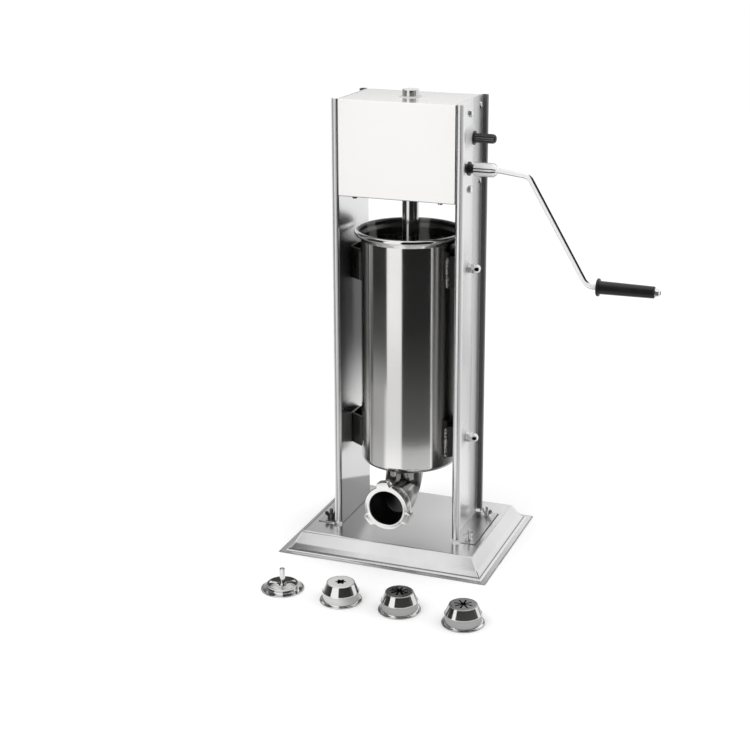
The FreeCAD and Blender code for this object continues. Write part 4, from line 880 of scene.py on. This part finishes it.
def makeRingNut():
    n = ringNut
    body, lug, bore, cavity = (n[name] / 2 for name in ("body", "lug", "bore", "cavity"))

    def outerAt(a):
        # the three grip lugs rise from the round body
        r = body
        for middle in n["lugAngles"]:
            off = abs((degrees(a) - middle + 180) % 360 - 180)
            across = lug * sin(radians(min(off, 89)))
            rise = min(max((n["lugWidth"] / 2 + n["lugRound"] - across) / (2 * n["lugRound"]), 0.0), 1.0)
            if off < n["lugSpan"]:
                r = max(r, body + (lug - body) * rise * rise * (3 - 2 * rise))
        return r

    def profile(r):
        rear = min(1.2, max(r - body, 0.0) * 0.4)
        return arcCorners([
            (bore, n["lip"], 0.3),
            (bore, 0.0, 1.1),
            (r, 0.0, n["edge"]),
            (r, n["lugDepth"], rear + n["seam"]),
            (body - n["seam"], n["lugDepth"] + 0.25, n["seam"]),
            (body - n["seam"], n["depth"], 1.0),
            (cavity, n["depth"], 0.3),
            (cavity, n["lip"], 0.3),
        ], fixedParts=5)

    rings = [[(p.x * cos(a), p.x * sin(a), -p.y) for p in profile(outerAt(a))] for a in angles(n["steps"])]
    # local Z points out of the mouth, towards -Y, and local Y points up
    turn = Matrix.Translation((0, n["front"], n["z"])) @ Matrix.Rotation(radians(90), 4, "X")
    part = moved(skin(rings, joinEnds=True), turn)
    newPiece("outletRingNut", part, "ringNut", ["outlet_ring_nut"], "outlet_ring_nut", sharp=n["sharp"])


makeRingNut()
print("ring nut made")


column = {
    "inner": 85.3, "sheet": 1.5, "hem": 11.24, "hemReturn": 9.0, "outerBend": 4.0, "innerBend": 5.3, "low": 30.6,
    "front": -61.2, "rear": 58.5, "footLow": 26.6, "footTop": 28.1, "footBend": 3.9, "footInset": 5.6,
    "plateStart": 97.2, "plateFront": -59.85, "plateRear": 57.15, "plateRound": (0.4, 1.5), "step": 9.0,
    "sharp": 35.0, "sides": {"right_column": ("rightColumn", 1), "left_column": ("leftColumn", -1)},
}


def makeColumns():
    # a channel with folded edges, turned out into a foot
    c = column
    t, inner, low, start = c["sheet"], c["inner"], c["low"], c["plateStart"]
    front, rear, back, footLow, footTop = c["front"], c["rear"], c["hemReturn"], c["footLow"], c["footTop"]
    hem = inner + c["hem"]
    outer, tight = c["outerBend"], c["outerBend"] - 1.2
    shape = arcCorners([
        (hem, front + back, 0.0), (hem, front, outer), (inner, front, c["innerBend"]),
        (inner, rear, c["innerBend"]), (hem, rear, outer), (hem, rear - back, 0.0),
        (hem - t, rear - back, 0.0), (hem - t, rear - t, tight), (inner + t, rear - t, c["innerBend"] - t),
        (inner + t, front + t, c["innerBend"] - t), (hem - t, front + t, tight), (hem - t, front + back, 0.0),
    ], step=c["step"])
    fold = arcCorners([
        (inner, low, 0), (inner, footLow, c["footBend"]), (start, footLow, 0),
        (start, footTop, 0), (inner + t, footTop, c["footBend"] - t), (inner + t, low, 0),
    ], step=c["step"])
    for node, (name, side) in c["sides"].items():
        boxLow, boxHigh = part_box(node)
        end = max(abs(boxLow[0] / mm), abs(boxHigh[0] / mm))
        tightRound, wideRound = c["plateRound"]
        plan = arcCorners([
            (start, c["plateFront"], tightRound), (end, c["plateFront"], wideRound),
            (end, c["plateRear"], wideRound), (start, c["plateRear"], tightRound),
        ])
        channel = skin([[(side * x, y, z) for x, y in shape] for z in (low, boxHigh[2] / mm)], caps=True)
        ends = (front + c["footInset"], rear - c["footInset"])
        bend = skin([[(side * x, y, z) for x, z in fold] for y in ends], caps=True)
        plate = skin([[(side * x, y, z) for x, y in plan] for z in (footLow, footTop)], caps=True)
        newPiece(name, merged([channel, bend, plate]), "web", [node], sharp=c["sharp"])


makeColumns()
print("columns made")


elbow = {
    "outer": 27.5, "bore": 25.3, "bend": 32.0, "axis": -22.0, "z": 81.5, "segments": 72, "bendSteps": 20,
    "innerReach": 0.6, "endFace": 1.0,
}


def makeElbow():
    # pipe down from the barrel's floor, round the bend and out to the front
    e = elbow
    bend, axisY, axisZ = e["bend"], e["axis"], e["z"]
    low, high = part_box("outlet_elbow")
    end = low[1] / mm
    path = [(axisY, high[2] / mm, 0.0)]
    for k in range(e["bendSteps"] + 1):
        a = radians(90) * k / e["bendSteps"]
        path.append((axisY - bend * (1 - cos(a)), axisZ + bend * (1 - sin(a)), a))
    path.append((end, axisZ, radians(90)))

    def ringAt(y, z, lean, r):
        ring = []
        for a in angles(e["segments"]):
            out = r * sin(a)
            ring.append((r * cos(a), y + out * cos(lean), z + out * sin(lean)))
        return ring

    rings = [ringAt(y, z, lean, e["outer"]) for y, z, lean in path]
    rings += [ringAt(y, z, lean, e["bore"]) for y, z, lean in reversed(path)]

    def inside(face, out):
        # nearer to the pipe's axis than its outer wall, and not on the front end
        axis = min((Vector((0, y, z)) for y, z, lean in path[1:]), key=lambda m: (m - face).length)
        if face.y < axisY - bend:
            axis = Vector((0, face.y, axisZ))
        if face.z > axisZ + bend:
            axis = Vector((0, axisY, face.z))
        return face.y > end + e["endFace"] and (face - axis).length < e["bore"] + e["innerReach"]

    newPiece("outletElbow", skin(rings, joinEnds=True), "elbow", ["outlet_elbow"], inside=inside)


makeElbow()
print("elbow made")


nuts = {
    "flats": 13.0, "start": 86.8, "nut": 6.5, "capHex": 4.4, "capEnd": 105.3, "dome": 6.5, "bolt": 4.0,
    "levels": (167.0, 420.0), "turns": (12.0, 37.0), "capTurn": 0.4, "chamfer": 0.955, "slope": 0.55,
    "steps": 5, "domeSteps": 12, "domeFullness": 0.8, "axis": 0.02, "sharp": 28.0,
}


def hexRing(height, limit, turn, points=72):
    # a hexagon's outline, cut back to a circle of the limit radius
    ring = []
    for a in angles(points):
        r = min(nuts["flats"] / 2 / cos((a + pi / 6) % (pi / 3) - pi / 6), limit)
        ring.append((r * cos(a + turn), r * sin(a + turn), height))
    return ring


def chamferedHex(low, high, turn):
    # each corner is taken back by a cone at both ends
    flats, steps = nuts["flats"], nuts["steps"]
    face = flats / 2 * nuts["chamfer"]
    corner = flats / sqrt(3)
    drop = (corner - face) * nuts["slope"]
    shares = [k / steps for k in range(steps + 1)]
    heights = [(low + drop * share, face + (corner - face) * share) for share in shares]
    heights += [(high - drop * share, face + (corner - face) * share) for share in reversed(shares)]
    ends = (low, nuts["bolt"]), (high, nuts["bolt"])
    return skin([hexRing(height, reach, turn) for height, reach in (ends[0], *heights, ends[1])])


def makeBarrelNuts():
    n = nuts
    middle = n["start"] + n["nut"]
    base = middle + n["capHex"]
    hexNuts, capNuts = [], []
    dome = [(n["dome"], base)]
    for k in range(1, n["domeSteps"] + 1):
        a = radians(90) * k / n["domeSteps"]
        r = max(n["dome"] * cos(a) ** n["domeFullness"], n["axis"])
        dome.append((r, base + (n["capEnd"] - base) * sin(a)))
    for side in ("X", "-X"):
        for level, turn in zip(n["levels"], n["turns"]):
            spin = radians(turn)
            where = placed(0, 0, level, side)
            hexNuts.append(moved(chamferedHex(n["start"], middle, spin), where))
            cap = chamferedHex(middle, base, spin + n["capTurn"])
            capNuts.append(moved(merged([cap, turned(dome, segments=48, joinEnds=False)]), where))
    for name, finish, parts, node in (
        ("barrelNuts", "nut", hexNuts, "barrel_hex_nuts"), ("barrelCapNuts", "capNut", capNuts, "barrel_cap_nuts"),
    ):
        newPiece(name, merged(parts), finish, [node], sharp=n["sharp"])


makeBarrelNuts()
print("barrel nuts made")


weld = {
    "barrel": 71.0, "halfWidth": 27.5, "inset": 1.5, "size": 2.6, "seed": 4.0, "seedStep": 3.7, "steps": 70,
    "off": (0.4, 0.7), "squash": 0.75, "pitch": 1.7, "ripple": 0.16, "sides": 10, "sharp": 70.0,
    "rough": 0.30, "roughScale": 0.55, "wander": 0.22, "wanderScale": 0.3, "endSize": 0.35, "endSteps": 3,
}


def bead(points, seed):
    # a line of overlapping ripples along a path of points
    w = weld
    size, squash = w["size"], w["squash"]
    path = [Vector(p) for p in points]
    rings = []
    run = 0.0
    for i, here in enumerate(path):
        if i:
            run += (here - path[i - 1]).length
        ahead = (path[min(i + 1, len(path) - 1)] - path[max(i - 1, 0)]).normalized()
        side = ahead.orthogonal().normalized()
        other = ahead.cross(side)
        ripple = 1 + w["ripple"] * sin(2 * pi * run / w["pitch"])
        toEnd = min(i, len(path) - 1 - i)
        ends = min(1.0, w["endSize"] + (1 - w["endSize"]) * toEnd / w["endSteps"])
        ring = []
        for a in angles(w["sides"]):
            spot = here + side * cos(a) * size + other * sin(a) * size * squash
            rough = 1 + w["rough"] * noise.noise(spot * w["roughScale"] + Vector((seed, seed, 0)))
            wander = size * w["wander"] * noise.noise(Vector((run * w["wanderScale"], seed, 0)))
            out = (side * cos(a) + other * sin(a) * squash) * size * ripple * rough * ends
            ring.append(here + out + other * wander)
        rings.append(ring)
    return skin(rings, caps=True)


def makeWelds():
    w = weld
    x = sqrt(w["barrel"] ** 2 - w["halfWidth"] ** 2) + w["off"][0]
    y = w["halfWidth"] + w["off"][1]
    parts = []
    for row in ("lower", "upper"):
        low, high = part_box(row + "_right_bracket")
        bottom, top = low[2] / mm + w["inset"], high[2] / mm - w["inset"]
        heights = [bottom + (top - bottom) * k / w["steps"] for k in range(w["steps"] + 1)]
        for sx, sy in ((-1, -1), (-1, 1), (1, -1), (1, 1)):
            line = [(sx * x, sy * y, z) for z in heights]
            parts.append(bead(line, w["seed"] + len(parts) * w["seedStep"]))
    newPiece("bracketWelds", merged(parts), "weld", sharp=w["sharp"])


makeWelds()
print("welds made")


stage = {
    "half": 20.0, "steps": 8, "tone": 0.93, "speck": 0.995, "paleness": 0.22, "shelter": 0.12, "shade": 1.5,
    "worldLevel": 0.86, "reach": 5.0,
    # what polished steel sees of the floor, by direction from straight in front towards the crank side
    "shine": ((-180, 0.9), (-146, 0.85), (-140, 0.26), (-76, 0.30), (-70, 0.48), (-42, 0.50), (-33, 1.0), (-1, 1.0),
              (5, 0.56), (65, 0.60), (66, 0.98), (69.5, 0.98), (72, 0.20), (104, 0.20), (116, 0.95), (180, 0.95)),
    "shineByReach": ((0.0, 1.0), (0.40, 1.0), (0.55, 0.78), (0.95, 0.78), (1.3, 0.95), (2.5, 0.96), (5.0, 1.0)),
}


def staged(name, part, finish, cameraSees=True):
    verts, faces = part
    mesh = bpy.data.meshes.new(name)
    mesh.from_pydata(verts, [], faces)
    piece = added(name, mesh)
    mesh.materials.append(finish)
    for ray in () if cameraSees else ("camera", "diffuse", "shadow", "transmission", "volume_scatter"):
        setattr(piece, "visible_" + ray, False)


def makeFloor():
    material, tree = newFinish("paleFloor")
    paint = tree.blendColours(tree.noise(3.0, detail=2.0), stage["tone"], stage["tone"] * stage["speck"])
    lit = tree.node("BsdfDiffuse", {"Color": paint})
    seenRays, glossy = tree.rays("Camera", "Glossy")
    openSky = tree.node("AmbientOcclusion", {"Distance": stage["shelter"]}, output=1, samples=8)
    pale = tree.glow(seenRays * stage["paleness"] * openSky ** stage["shade"])
    seen = tree.node("AddShader", {0: lit, 1: pale})
    x, y, z = tree.place()
    shine = tree.ramp(tree.turn(x, 0.0 - y), [((d + 180) / 360, level) for d, level in stage["shine"]])
    away = (x ** 2 + y ** 2) ** 0.5
    reach = stage["reach"]
    shine = shine * tree.ramp(away * (1 / reach), [(d / reach, level) for d, level in stage["shineByReach"]])
    mirrored = tree.glow(shine * openSky)
    closeFinish(tree, tree.node("MixShader", {0: glossy, 1: seen, 2: mirrored}))
    material.cycles.emission_sampling = "NONE"
    half = stage["half"]
    row = [-half + 2 * half * i / stage["steps"] for i in range(stage["steps"] + 1)]
    staged("floor", skin([[(x, y, 0.0) for x in row] for y in row], closeRings=False), material)


# cards stand round the press and are seen only in its polished faces
# the two ends are azimuths, 0 straight in front and 90 on the crank side; levels go by height in metres,
# and across from the first end to the last
cards = {
    "left": {"ends": (-130.0, -73.0), "away": 0.79, "levels": (
        (0, 0.12), (0.034, 0.095), (0.113, 0.11), (0.15, 0.12), (0.19, 0.17), (0.27, 0.25), (1.3, 0.25))},
    "leftFront": {"ends": (-74.0, -33.4), "away": 0.80, "levels": (
        (0, 0.33), (0.034, 0.235), (0.074, 0.11), (0.113, 0.07), (0.15, 0.06), (0.21, 0.03), (1.3, 0.05))},
    "front": {"ends": (2.0, 66.0), "away": 0.50, "levels": (
        (0, 0.11), (0.073, 0.08), (0.108, 0.062), (0.143, 0.045), (0.213, 0.024), (0.354, 0.017), (1.3, 0.016))},
    "right": {"ends": (69.6, 94.0), "away": 0.74, "levels": ((0, 1.0), (1.3, 1.0)),
              "across": ((0, 0.06), (0.3, 0.08), (1.0, 0.09))},
    "rightRear": {"ends": (94.0, 136.0), "away": 0.74, "levels": ((0, 0.85), (1.3, 0.85))},
    "leftEdge": {"ends": (-166.0, -129.0), "away": 0.90, "levels": ((0, 0.02), (0.26, 0.02))},
    "lowRear": {"ends": (160.0, 190.0), "away": 0.84, "levels": ((0, 0.10), (0.2, 0.05), (0.255, 0.05))},
    "rear": {"ends": (-170.0, -134.0), "away": 1.20, "levels": ((0, 1.0), (0.66, 1.0)),
             "across": ((0, 0.85), (0.3, 0.6), (0.65, 0.45), (1.0, 0.30))},
    "rearTop": {"ends": (150.0, 226.0), "away": 1.21, "levels": ((0.66, 0.06), (0.80, 0.06))},
}


def cardFinish(name, card):
    material, tree = newFinish(name)
    low, high = card["levels"][0][0], card["levels"][-1][0]
    x, y, z = tree.place()
    stops = [((h - low) / (high - low), level) for h, level in card["levels"]]
    shade = tree.ramp((z - low) * (1 / (high - low)), stops)
    if "across" in card:
        first, last = (radians(end) for end in card["ends"])
        heading = tree.sum("ARCTAN2", x, 0.0 - y)
        shade = shade * tree.ramp((heading - first) * (1 / (last - first)), card["across"])
    closeFinish(tree, tree.glow(shade))
    material.cycles.emission_sampling = "NONE"
    return material


def makeCards(steps=24):
    for name, card in cards.items():
        first, last = card["ends"]
        rings = []
        for i in range(steps + 1):
            a = radians(first + (last - first) * i / steps)
            x, y = card["away"] * sin(a), -card["away"] * cos(a)
            rings.append([(x, y, card["levels"][end][0]) for end in (0, -1)])
        staged(name + "Card", skin(rings, closeRings=False), cardFinish(name + "Card", card), cameraSees=False)


def makeWorld():
    world = bpy.data.worlds.new("studio")
    bpy.context.scene.world = world
    world.use_nodes = True
    tree = Tree(world.node_tree)
    direct, glossy, through = tree.rays("Camera", "Glossy", "Transmission")
    seen = tree.node("Math", {0: direct + glossy, 1: through}, operation="ADD", use_clamp=True)
    strength = stage["worldLevel"] + seen * (1.0 - stage["worldLevel"])
    light = tree.node("Background", {"Color": colour(1.0), "Strength": strength})
    tree.node("OutputWorld", {"Surface": light})


lamps = {
    "keyLamp": {"place": (-0.75, -1.6, 1.9), "aim": (0.0, 0.0, 0.3), "size": (1.2, 1.2), "power": 9.0},
    "sideLamp": {"place": (1.9, 0.3, 1.5), "aim": (0.0, 0.0, 0.3), "size": (1.0, 1.4), "power": 5.0},
}


def makeLamps():
    for name, lamp in lamps.items():
        data = bpy.data.lights.new(name, "AREA")
        data.shape = "RECTANGLE"
        data.size, data.size_y = lamp["size"]
        data.energy = lamp["power"]
        light = added(name, data)
        light.location = lamp["place"]
        light.visible_glossy = False
        light.rotation_mode = "QUATERNION"
        light.rotation_quaternion = (Vector(lamp["place"]) - Vector(lamp["aim"])).to_track_quat("Z", "Y")


makeFloor()
makeCards()
makeWorld()
makeLamps()
print("stage set")
